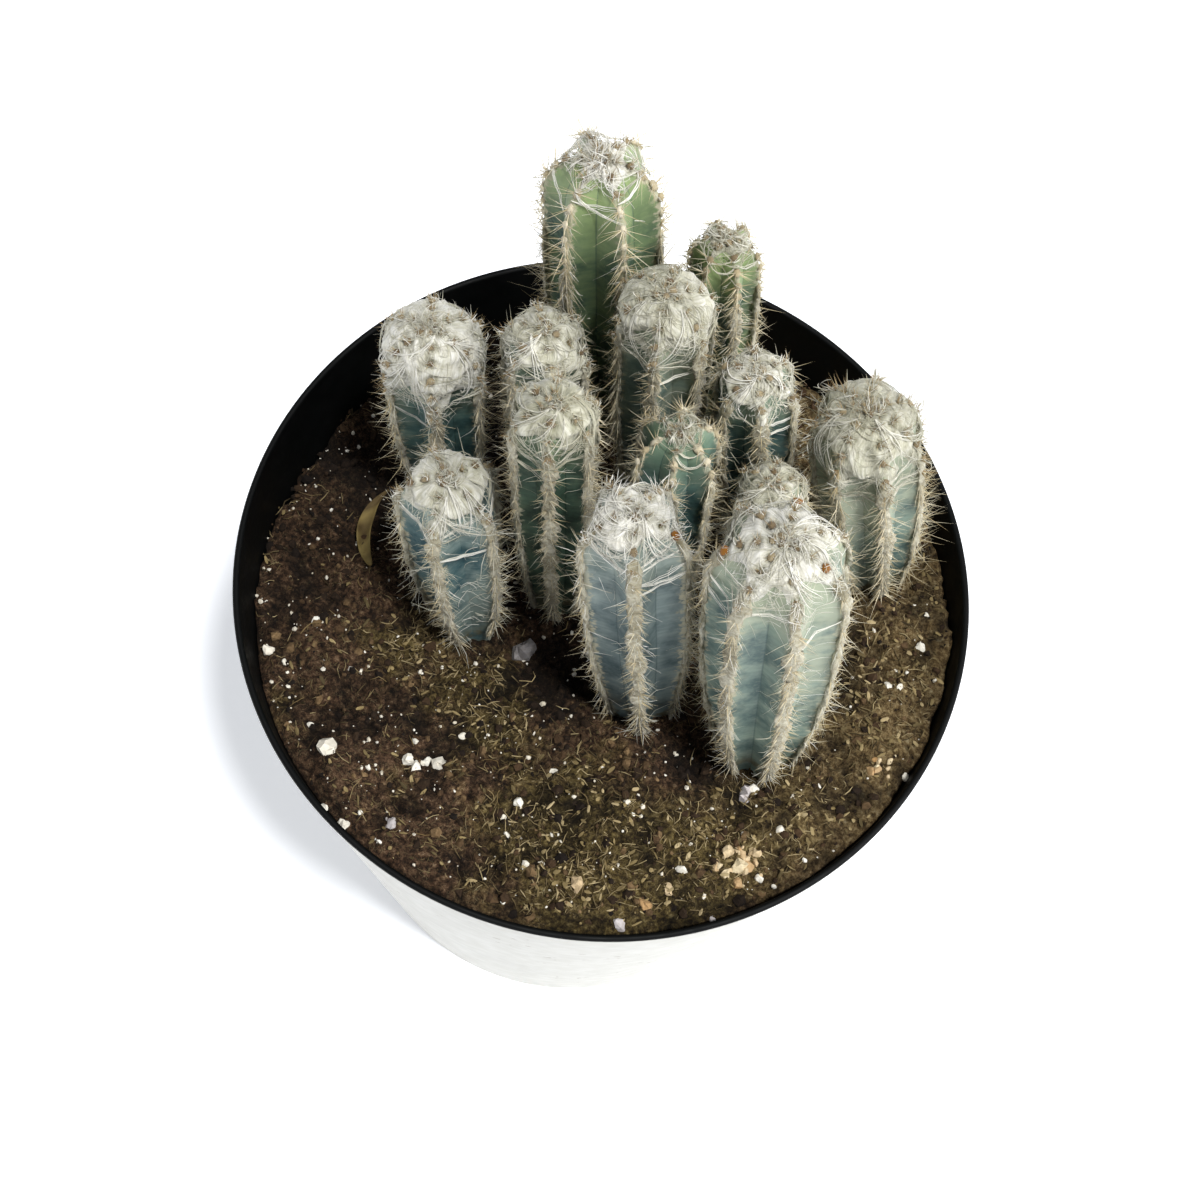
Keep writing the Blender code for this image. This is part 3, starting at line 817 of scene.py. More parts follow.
@dataclass
class NurseryPot:
    """Tapered grower's pot, white outside and black inside, with a thin rolled lip. Sizes in metres."""

    height: float = 0.140
    rim_radius: float = 0.075
    foot_radius: float = 0.0537
    wall: float = 0.0011
    lip_width: float = 0.0014
    lip_height: float = 0.0016
    foot_ring_width: float = 0.005
    floor_lift: float = 0.003
    drain_count: int = 6
    drain_radius: float = 0.004
    drain_ring_radius: float = 0.034
    drain_sides: int = 32
    sides: int = 192

    def inner_radius(self, z: float) -> float:
        """Give the radius of the inner wall at a height."""
        low = self.foot_radius - self.wall
        return low + z / self.height * (self.rim_radius - self.lip_width - low)

    def outline(self) -> list[tuple[float, float]]:
        """Give the wall's closed outline, from the floor's top round to its underside.

        Returns:
            Radius and height of each corner.
        """
        floor_top = self.floor_lift + self.wall
        lip_bottom = self.height - self.lip_height
        lip_inner = self.inner_radius(self.height)
        bead = self.lip_width / 2
        arc = [(lip_inner + bead - bead * math.cos(turn), self.height - bead + bead * math.sin(turn))
               for turn in np.linspace(0, math.pi, 13)]
        return [
            (0.0, floor_top),
            (self.inner_radius(floor_top) - 2 * self.wall, floor_top),
            (self.inner_radius(floor_top + 2 * self.wall), floor_top + 2 * self.wall),
            *arc,
            (self.rim_radius, lip_bottom + self.wall / 4),
            (self.rim_radius - self.wall / 4, lip_bottom),
            (self.inner_radius(lip_bottom) + self.wall, lip_bottom),
            (self.foot_radius, self.wall / 2),
            (self.foot_radius - self.wall / 2, 0.0),
            (self.foot_radius - self.foot_ring_width, 0.0),
            (self.foot_radius - self.foot_ring_width, self.floor_lift),
            (0.0, self.floor_lift),
        ]

    def build(self) -> Object:
        """Spin the outline, drill the drain holes and give the two colours of the sheet.

        Returns:
            The pot, which stands for its CAD node.
        """
        shape = bmesh.new()
        points = [shape.verts.new((radius, 0.0, z)) for radius, z in self.outline()]
        edges = [shape.edges.new(pair) for pair in zip(points, points[1:])]
        bmesh.ops.spin(shape, geom=points + edges, cent=(0, 0, 0), axis=(0, 0, 1), angle=math.tau,
                       steps=self.sides, use_merge=True)
        bmesh.ops.remove_doubles(shape, verts=shape.verts, dist=1e-6)
        bmesh.ops.recalc_face_normals(shape, faces=shape.faces)
        mesh = bpy.data.meshes.new("nursery_pot")
        shape.to_mesh(mesh)
        shape.free()
        pot = bpy.data.objects.new("nursery_pot", mesh)
        bpy.context.scene.collection.objects.link(pot)
        mesh.materials.append(material_of(WHITE_PLASTIC))
        mesh.materials.append(material_of(BLACK_PLASTIC))
        for face in mesh.polygons:
            outward = Vector((face.center.x, face.center.y, 0)).dot(face.normal) > 0
            in_lip = face.center.z > self.height - 0.6 * self.lip_height
            inside = face.center.z > self.floor_lift + self.wall / 2 and not outward
            face.material_index = 1 if in_lip or inside else 0
        self.drill(pot)
        mesh.shade_smooth()
        pot.data.set_sharp_from_angle(angle=math.radians(35))
        return keep_piece(pot, "pot")

    def drill(self, pot: Object) -> None:
        """Cut the round drain holes through the floor.

        Args:
            pot: The pot, whose mesh is cut.
        """
        for i in range(self.drain_count):
            turn = math.tau * (i + 0.5) / self.drain_count
            place = Matrix.Translation((self.drain_ring_radius * math.cos(turn),
                                        self.drain_ring_radius * math.sin(turn), self.floor_lift))
            shape = bmesh.new()
            bmesh.ops.create_cone(shape, cap_ends=True, segments=self.drain_sides, radius1=self.drain_radius,
                                  radius2=self.drain_radius, depth=4 * self.floor_lift, matrix=place)
            mesh = bpy.data.meshes.new("drill")
            shape.to_mesh(mesh)
            shape.free()
            drill = bpy.data.objects.new("drill", mesh)
            bpy.context.scene.collection.objects.link(drill)
            knife = pot.modifiers.new("drain", "BOOLEAN")
            knife.object = drill
            knife.solver = "EXACT"
            bpy.context.view_layer.objects.active = pot
            bpy.ops.object.modifier_apply(modifier=knife.name)
            bpy.data.objects.remove(drill, do_unlink=True)


POT = NurseryPot()


# Soil

@dataclass(frozen=True)
class Swell:
    """A rounded clod or patch, or a hollow where rise is below 0."""

    x: float
    y: float
    rise: float
    reach: float

    def height(self, x: float, y: float) -> float:
        """Give its height at a place."""
        away = math.hypot(x - self.x, y - self.y) / self.reach
        return self.rise * math.exp(-away * away)


# The single grains and lumps that stand out, as x, y and half size in millimetres
LARGE_PERLITE = np.array([
    (-48, -44, 1.9), (-25.5, -43, 1.4), (-42, -58.5, 1.4), (66.5, -28.5, 1.2), (-32, -43, 1.2), (-9, -48.5, 1),
    (-5.5, -61.5, 1.1), (-30.5, -44.5, 1), (-46.5, -55.5, 1), (60.5, -10.5, 1.1), (-57, -16, 1),
    (-34, -61.5, 1), (24.5, -57, 1.2), (66.5, 0, 1), (-28.5, -42.5, 1), (-10, -55.5, 1), (36.5, -37.5, 1),
    (42.5, -45.5, 0.9), (40, -55.5, 0.9), (-65, -24, 1.1), (-11.5, -52, 0.8), (-3.5, -40.5, 0.8),
    (-39.5, -46.5, 0.8), (-53, -38.5, 0.7), (49, -34.5, 0.9), (-39, -56, 0.8), (63, -10.5, 0.7),
    (-22.5, -35.5, 0.8), (-31.5, -39, 0.9), (12, -45.5, 0.8), (-47.5, -25.5, 0.7), (43, -56.5, 0.7),
    (-61, -26.5, 0.7), (67, 7, 0.6), (62.5, -6.5, 0.7), (8, 58, 1.5), (50, 45, 1.4), (-48, 40, 1.5)])
GREY_LUMPS = np.array([(-13.5, -15, 2.4), (35, -38.5, 1.8), (14.5, -69.5, 1.2), (-32.5, -57.5, 1.2),
                       (-33.5, -56, 0.8), (32, -65, 0.8)])
GREY_SHADES = np.array([0.25, 0.95, 0.9, 0.8, 0.7, 0.8])
FRONT_CRUMBS = np.array([(37, -53.5), (33, -52), (31.5, -55), (5, -63.5), (18.5, -65), (35.5, -54), (23, -61)])
CRUMB_HEAP, CRUMB_EDGE = np.array([36.0, -53.5]), np.array([61.0, -29.0])


@dataclass
class SoilBed:
    """Peat filling whose surface falls to the back left, with its clods, crumbs, grains and fibres."""

    centre_level: float = 0.1305
    rise_right: float = 0.065
    fall_back: float = 0.118
    top_level: float = 0.1383
    roughness: float = 0.0007
    roughness_pitch: float = 0.011
    leaf_centre: tuple[float, float] = (-0.0515, 0.0078)
    leaf_bed_radius: float = 0.017
    scatter_edge: float = 0.0715
    fibre_edge: float = 0.0705
    straw_edge: float = 0.0690
    path_edge: float = 0.0712
    crumb_count: int = 3600
    flakes_drawn: int = 5600
    fibres_drawn: int = 13000
    fibre_count: int = 3700
    straw_count: int = 80
    dust_drawn: int = 1900
    edge_start: float = 0.0690
    edge_dip: float = 0.0024
    rings: int = 96
    around: int = 440
    swells: tuple[Swell, ...] = (
        Swell(0.0134, -0.0395, 0.0035, 0.009), Swell(0.0365, -0.053, 0.0012, 0.008),
        Swell(-0.03, -0.056, 0.0014, 0.014), Swell(0.0215, -0.0345, -0.0035, 0.006),
        Swell(-0.0045, -0.0165, -0.0045, 0.009), Swell(-0.056, 0.033, -0.0015, 0.016),
    )
    # Pools of painted shade among the stems, where the peat is darkened
    damp_patches: tuple[Swell, ...] = (
        Swell(-0.0045, -0.0175, 1.1, 0.0085), Swell(0.006, 0.004, 1.1, 0.016),
        Swell(-0.023, 0.008, 0.9, 0.013), Swell(-0.05, 0.025, 0.75, 0.017),
        Swell(0.031, 0.012, 0.8, 0.013), Swell(0.0225, -0.0345, 0.9, 0.005),
        Swell(0.045, -0.008, 0.5, 0.008), Swell(-0.025, 0.05, 0.6, 0.02),
        Swell(-0.018, -0.029, 0.35, 0.008),
    )
    moss_patches: tuple[Swell, ...] = (
        Swell(-0.0209, -0.0257, 1.1, 0.012), Swell(-0.039, -0.0172, 1.0, 0.009),
        Swell(-0.002, -0.053, 1.2, 0.017), Swell(0.0237, -0.056, 1.2, 0.016),
        Swell(0.045, -0.043, 0.9, 0.014), Swell(0.0579, -0.01, 1.0, 0.018),
        Swell(0.01, -0.067, 0.9, 0.012), Swell(-0.0615, -0.0327, 0.5, 0.008),
        Swell(0.0294, 0.0494, 0.8, 0.014), Swell(0.064, 0.022, 0.7, 0.012),
        Swell(-0.01, 0.062, 0.6, 0.015),
    )

    def plain_height(self, x: float, y: float) -> float:
        """Give the surface's height as the CAD solid has it.

        Args:
            x: Way right of the pot's axis.
            y: Way behind it.

        Returns:
            The height.
        """
        plane = self.centre_level + self.rise_right * x - self.fall_back * y
        from_leaf = math.hypot(x - self.leaf_centre[0], y - self.leaf_centre[1]) / self.leaf_bed_radius
        rough = self.roughness * min(1.0, max(0.0, 2 * from_leaf - 2))
        grain = rough * noise.noise(Vector((x, y, 0.0)) / self.roughness_pitch)
        swells = sum(swell.height(x, y) for swell in self.swells) if from_leaf > 1 else 0.0
        return min(self.top_level, plane + grain + swells)

    def crumbled_height(self, x: float, y: float) -> float:
        """Give the surface's height with crumbs of three sizes, cracks and the gap along the pot's wall.

        Args:
            x: Way right of the pot's axis.
            y: Way behind it.

        Returns:
            The height.
        """
        place = Vector((x, y, 0.0))
        lumps = (noise.noise(place / (10.0 * MM)) * 2.6 + abs(noise.noise(place / (3.1 * MM))) * 1.8 - 0.3
                 + noise.noise(place / (1.1 * MM)) * 0.6 - 1.6 * self.cracks(place)) * MM
        edge = min(1.0, max(0.0, (math.hypot(x, y) - self.edge_start) / (4.0 * MM)))
        ragged = 0.75 + noise.noise(place / (7.0 * MM)) * 0.9
        dip = self.edge_dip * edge * max(0.1, ragged)
        return min(self.top_level, self.plain_height(x, y) + lumps) - dip

    def cracks(self, place: Vector) -> float:
        """Give how deep in the cracks between clods a place is.

        Args:
            place: The place, with height 0.

        Returns:
            Depth as a share, from 0 to 1.
        """
        broken = max(0.0, 0.75 + 1.5 * noise.noise(place / (14.0 * MM) + Vector((9.0, 3.0, 0.0))))
        deep = 0.0
        for clod_mm, width, share in ((9.0, 0.15, 1.0), (3.6, 0.22, 0.55)):
            # Three plain noises bend the cracks, because noise_vector draws new offsets in each run
            spot = place / (0.35 * clod_mm * MM)
            bend = Vector([noise.noise(spot + Vector((0.0, 0.0, 7.3 * part))) for part in range(3)])
            bent = place / (clod_mm * MM) + 0.35 * bend
            near, second = noise.voronoi(bent)[0][:2]
            deep = max(deep, share * math.exp(-((second - near) / width) ** 2))
        return min(1.0, deep * broken)

    def damp_at(self, x: float, y: float) -> float:
        """Give how much painted shade darkens a place: most among the stems and in the cracks.

        Args:
            x: Way right of the pot's axis.
            y: Way behind it.

        Returns:
            The painted shade, from 0 to 1.
        """
        ragged = noise.noise(Vector((x, y, 2.0)) / (5.0 * MM)) * 0.5
        pools = sum(patch.height(x, y) for patch in self.damp_patches)
        return min(1.0, max(0.0, pools + ragged - 0.1 + 0.9 * self.cracks(Vector((x, y, 0.0)))))

    def moss_at(self, x: float, y: float) -> float:
        """Give how mossy a place is.

        Args:
            x: Way right of the pot's axis.
            y: Way behind it.

        Returns:
            The cover, from 0 to 1.
        """
        place = Vector((x, y, 1.0))
        cover = sum(patch.height(x, y) for patch in self.moss_patches)
        broken = noise.noise(place / (6.0 * MM)) * 0.5 + noise.noise(place / (2.0 * MM)) * 0.35
        return min(1.0, max(0.0, 1.6 * (cover + broken - 0.3)))

    def surface_points(self) -> ndarray:
        """Give rings of surface points, from the wall inwards.

        Returns:
            Places, n by 3.
        """
        points = []
        for ring in range(self.rings):
            share = 1 - ring / self.rings
            for step in range(self.around):
                turn = math.tau * step / self.around
                reach = share * POT.inner_radius(self.centre_level)
                level = self.crumbled_height(reach * math.cos(turn), reach * math.sin(turn))
                reach = share * (POT.inner_radius(level) - 0.15 * MM)
                points.append((reach * math.cos(turn), reach * math.sin(turn), level))
        return np.array(points)

    def build(self) -> Object:
        """Make the crumbled filling down to the pot's floor.

        Returns:
            The soil, which stands for its CAD node.
        """
        floor = POT.floor_lift + POT.wall + 0.3 * MM
        turns = math.tau * np.arange(self.around) / self.around
        reach = POT.inner_radius(floor) - 2 * POT.wall
        bottom = np.stack([reach * np.cos(turns), reach * np.sin(turns), np.full(self.around, floor)],
                          axis=-1)
        points = np.concatenate([bottom, self.surface_points()])
        moss = np.array([self.moss_at(x, y) for x, y, _ in points])
        # The dry mark paints the right side lighter, as painted light where the lamps fall; the painted shade
        # mark darkens the peat among the stems and in the cracks
        dry = np.clip((points[:, 0] + 0.35 * points[:, 1] - 0.012) / 0.035, 0, 1)
        marks = {"moss": moss, "painted_shade": self.damp_of(points), "dry": dry}
        return keep_loft("peat_soil", points, lattice_faces(self.rings + 1, self.around), marks,
                         material_of(PEAT), "soil")

    def scatter(self, count: int, draw: Generator, edge: float) -> ndarray:
        """Draw places on the surface.

        Args:
            count: How many.
            draw: The random source.
            edge: Largest distance from the pot's axis.

        Returns:
            Points on the crumbled surface, n by 3.
        """
        reach = edge * np.sqrt(draw.uniform(0, 1, count))
        turn = draw.uniform(0, math.tau, count)
        return self.seat(np.stack([reach * np.cos(turn), reach * np.sin(turn)], axis=-1))

    def seat(self, flat: ndarray) -> ndarray:
        """Give places x and y their height on the crumbled surface."""
        return np.array([(x, y, self.crumbled_height(x, y)) for x, y in flat])

    def damp_of(self, places: ndarray) -> ndarray:
        """Give the painted shade at each of some places."""
        return np.array([self.damp_at(x, y) for x, y, _ in places])

    def build_crumbs(self) -> None:
        """Scatter loose crumbs of peat over the surface."""
        draw = np.random.default_rng(SEED)
        count = self.crumb_count
        places = self.scatter(count, draw, self.scatter_edge)
        half = (0.25 + 0.95 * draw.uniform(0, 1, (count, 1)) ** 3) * draw.uniform(0.6, 1.3, (count, 3)) * MM
        aim = unit(draw.normal(size=(count, 3)))
        # Crumbs are painted darker where the painted shade lies
        tint = draw.uniform(0, 1, count) ** 1.2 * (1 - 0.9 * self.damp_of(places))
        keep_piece(set_cushions("peat_crumbs", places, aim, half, tint, material_of(PEAT_CRUMB), lumpiness=0.9,
                                lump_pitch_mm=0.7, detail=1, smooth=False))

    def build_flakes(self) -> None:
        """Strew flat flakes of dry moss and bark, most of them where moss grows."""
        draw = np.random.default_rng(SEED + 6)
        places = self.scatter(self.flakes_drawn, draw, self.scatter_edge)
        moss = np.array([self.moss_at(x, y) for x, y, _ in places])
        kept = draw.uniform(0, 1, len(places)) < (0.2 + 0.5 * moss + 0.2 * (places[:, 0] > 0.035)
                                                  - 0.6 * self.damp_of(places))
        places, moss = places[kept], moss[kept]
        count = len(places)
        places[:, 2] += draw.uniform(0.0, 0.5, count) * MM
        half = np.stack([draw.uniform(0.2, 0.5, count), draw.uniform(0.45, 1.3, count),
                         draw.uniform(0.07, 0.16, count)], axis=-1) * MM
        aim = unit(draw.normal(0, 0.5, (count, 3)) + np.array([0, 0, 1.0]))
        lie = unit(draw.normal(size=(count, 3)) * np.array([1, 1, 0.35]))
        tint = np.clip(draw.uniform(0.1, 0.75, count) + 0.25 * moss, 0, 1)
        keep_piece(set_cushions("moss_flakes", places, aim, half, tint, material_of(MOSS_FLAKE), lumpiness=0.35,
                                lump_pitch_mm=0.9, detail=1, lie=lie, smooth=False))

    def build_fibres(self) -> None:
        """Lay short moss and root fibres, dense in the moss, and fewer pale straws on the surface."""
        draw = np.random.default_rng(SEED + 1)
        start = self.scatter(self.fibres_drawn, draw, self.fibre_edge)
        moss = np.array([self.moss_at(x, y) for x, y, _ in start])
        kept = draw.uniform(0, 1, len(start)) < 0.28 + 0.6 * moss - 0.4 * self.damp_of(start)
        start, moss = start[kept][:self.fibre_count], moss[kept][:self.fibre_count]
        count = len(start)
        tint = np.clip(draw.uniform(0, 0.85, count) ** 1.2 + 0.4 * moss * draw.uniform(0, 1, count), 0, 1)
        self.keep_fibres("moss_and_root_fibres", start, draw.uniform(0.9, 3.0, count), 0.11, MOSS_STRAND,
                         tint, draw, steps=3)
        straws = self.straw_count
        start = self.scatter(straws, draw, self.straw_edge)
        self.keep_fibres("dry_straws", start, draw.uniform(2.0, 5.5, straws), 0.1, STRAW_STRAND,
                         draw.uniform(0, 0.8, straws), draw, steps=5)

    def keep_fibres(self, name: str, start: ndarray, length_mm: ndarray, girth_mm: float,
                    finish: FibreFinish, tint: ndarray, draw: Generator, steps: int) -> None:
        """Sweep fibres that wander from their starts, and keep them as one piece.

        Args:
            name: The piece's name.
            start: First points, n by 3.
            length_mm: Length of each fibre.
            girth_mm: Usual radius.
            finish: The fibres' finish.
            tint: Shade of each fibre.
            draw: The random source.
            steps: Points along each fibre.
        """
        paths = self.lay_paths(start, length_mm * MM, draw, steps)
        thick = np.full(paths.shape[:2], girth_mm * MM) * draw.uniform(0.6, 1.3, (len(start), 1))
        thick[:, -1] *= 0.4
        keep_piece(sweep_strands(name, paths, thick, material_of(finish), tint))

    def lay_paths(self, start: ndarray, length: ndarray, draw: Generator,
                  steps: int) -> ndarray:
        """Wander over the surface from each start.

        Args:
            start: First points, n by 3.
            length: Length of each path in metres.
            draw: The random source.
            steps: Points along each path.

        Returns:
            Paths, n by steps by 3, each lifted a little off the surface.
        """
        count = len(start)
        heading = draw.uniform(0, math.tau, count)
        place = start[:, :2].copy()
        paths = np.zeros((count, steps, 3))
        tilt = np.maximum(0, draw.uniform(-0.15, 0.55, count))
        for step in range(steps):
            share = step / (steps - 1)
            paths[:, step] = self.seat(place)
            paths[:, step, 2] += 0.15 * MM + tilt * share * length
            heading += draw.normal(0, 0.45, count)
            way = np.stack([np.cos(heading), np.sin(heading)], axis=-1)
            place += (length / (steps - 1))[:, None] * way
            reach = np.linalg.norm(place, axis=1, keepdims=True)
            place *= np.minimum(1.0, self.path_edge / np.maximum(reach, 1e-9))
        return paths

    def build_grains(self) -> None:
        """Scatter fine white perlite, and set the larger grains, the tan crumbs and the grey lumps."""
        draw = np.random.default_rng(SEED + 3)
        small = self.scatter(self.dust_drawn, draw, self.scatter_edge)
        to_right = np.clip((small[:, 0] / MM + 70) / 140, 0, 1)
        small = small[draw.uniform(0, 1, len(small)) > 0.2 + 0.5 * to_right]
        self.keep_grains("perlite_dust", small, 0.16 + 0.45 * draw.uniform(0, 1, len(small)) ** 3,
                         PERLITE_WHITE, draw.uniform(0.2, 1.0, len(small)), draw, detail=1)
        self.keep_grains("perlite_grains", self.seat(LARGE_PERLITE[:, :2] * MM), LARGE_PERLITE[:, 2],
                         PERLITE_WHITE, draw.uniform(0.6, 1.0, len(LARGE_PERLITE)), draw)
        heap = draw.normal(0, 2.4, (24, 2)) + CRUMB_HEAP
        edge = draw.normal(0, 1.8, (10, 2)) + CRUMB_EDGE
        places = self.seat(np.concatenate([FRONT_CRUMBS, heap, edge]) * MM)
        radius = np.concatenate([draw.uniform(0.9, 1.5, len(FRONT_CRUMBS)),
                                 draw.uniform(0.4, 1.1, len(heap) + len(edge))])
        self.keep_grains("tan_crumbs", places, radius, TAN_CRUMB, draw.uniform(0, 1, len(places)), draw)
        self.keep_grains("grey_lumps", self.seat(GREY_LUMPS[:, :2] * MM), GREY_LUMPS[:, 2], GREY_PUMICE,
                         GREY_SHADES, draw)

    def keep_grains(self, name: str, places: ndarray, radius_mm: ndarray, finish: FibreFinish,
                    tint: ndarray, draw: Generator, detail: int = 2) -> None:
        """Set broken grains and keep them as one piece.

        Args:
            name: The piece's name.
            places: Centres, n by 3.
            radius_mm: Usual half size of each grain.
            finish: The grains' finish.
            tint: Shade of each grain.
            draw: The random source.
            detail: Subdivisions of each grain.
        """
        half = radius_mm[:, None] * draw.uniform(0.6, 1.25, (len(places), 3)) * MM
        grains = set_cushions(name, places, unit(draw.normal(size=(len(places), 3))), half, tint,
                              material_of(finish), lumpiness=1.2, lump_pitch_mm=1.6, detail=detail,
                              smooth=False)
        keep_piece(grains)


SOIL = SoilBed()


@dataclass
class DryLeaf:
    """A dead blade curled into a crescent, which lies on the soil."""

    arc_radius: float = 0.0155
    half_angle: float = math.radians(38)
    half_width: float = 0.0015
    thickness: float = 0.0004
    clearance: float = 0.0009
    steps: int = 40
    across: int = 9

    def build(self) -> Object:
        """Make the cupped blade, which thins out to its stalk at the back.

        Returns:
            The leaf, which stands for its CAD node.
        """
        centre = np.array([SOIL.leaf_centre[0] + self.arc_radius, SOIL.leaf_centre[1]])
        rings = []
        for i in range(self.steps):
            share = 2 * (i + 0.5) / self.steps - 1
            turn = math.pi + share * self.half_angle
            half = self.half_width * math.sqrt(1 - share * share) * (0.72 + 0.28 * math.tanh(4 * share + 2))
            across = np.linspace(-1, 1, self.across)
            top = [(out, self.thickness / 2) for out in across]
            under = [(out, -self.thickness / 2) for out in across[::-1]]
            for out, lift in top + under:
                x, y = centre + (self.arc_radius + half * out) * np.array([math.cos(turn), math.sin(turn)])
                cup = 0.55 * half * out * out + 0.25 * half * abs(out) * math.sin(7 * share)
                rings.append((x, y, SOIL.plain_height(x, y) + self.clearance + lift + cup))
        points = np.array(rings)
        return keep_loft("dry_leaf_blade", points, lattice_faces(self.steps, 2 * self.across),
                         {"tint": 0.5 + 0.5 * ripple(points, 4.0, 9)}, material_of(LEAF_BLADE),
                         "dry_leaf")


# Stems

class Layer(Enum):
    """What grows on a stem, each with the offset of its own random source."""

    CUSHIONS = 0
    SPINES = 100
    CAP_WOOL = 200
    TUFTS = 250
    RIB_WOOL = 300
    VEIL = 400
    FUZZ = 500
    STREAKS = 550


def by_lock(draw: Generator, locks: int, each: int, shared: float, own: float,
            usual: float = 0.0) -> ndarray:
    """Draw values that the hairs of a lock share, each with a little of its own.

    Args:
        draw: The random source.
        locks: How many locks there are.
        each: Hairs in each lock.
        shared: Spread of the locks' values.
        own: Spread of what each hair adds.
        usual: Middle of the values.

    Returns:
        One value a hair, lock by lock.
    """
    return usual + np.repeat(draw.normal(0, shared, locks), each) + draw.normal(0, own, locks * each)


def curled_paths(root: ndarray, aim: ndarray, curl: ndarray, points: int) -> ndarray:
    """Lead hairs out from their roots, bent more and more towards their tips.

    Args:
        root: Feet, n by 3.
        aim: Way from foot to tip of the straight hair, n by 3.
        curl: How far the tip is bent away, n by 3.
        points: Points along each hair.

    Returns:
        Paths, n by points by 3.
    """
    share = np.linspace(0, 1, points)[:, None]
    return root[:, None] + aim[:, None] * share + curl[:, None] * share ** 2


@dataclass
class Areoles:
    """The wool cushions of one stem, as arrays with one row each."""

    along: ndarray
    turn: ndarray
    place: ndarray
    outward: ndarray
    upward: ndarray
    sideways: ndarray
    from_top: ndarray

    def chosen(self, keep: ndarray) -> "Areoles":
        """Return the areoles that a mask keeps."""
        return Areoles(*(getattr(self, field)[keep] for field in self.__dataclass_fields__))


@dataclass(frozen=True)
class WoolHaze:
    """A patch of skin under thin wool: turn and width in degrees, height and depth as shares of the stem."""

    turn: float
    height: float
    width: float
    depth: float
    strength: float = 1.0

    def at(self, rise: ndarray, turn: ndarray) -> ndarray:
        """Give its strength at shares of the height and directions in radians."""
        aside = (np.degrees(turn) - self.turn + 180) % 360 - 180
        return self.strength * np.exp(-(aside / self.width) ** 2 - ((rise - self.height) / self.depth) ** 2)


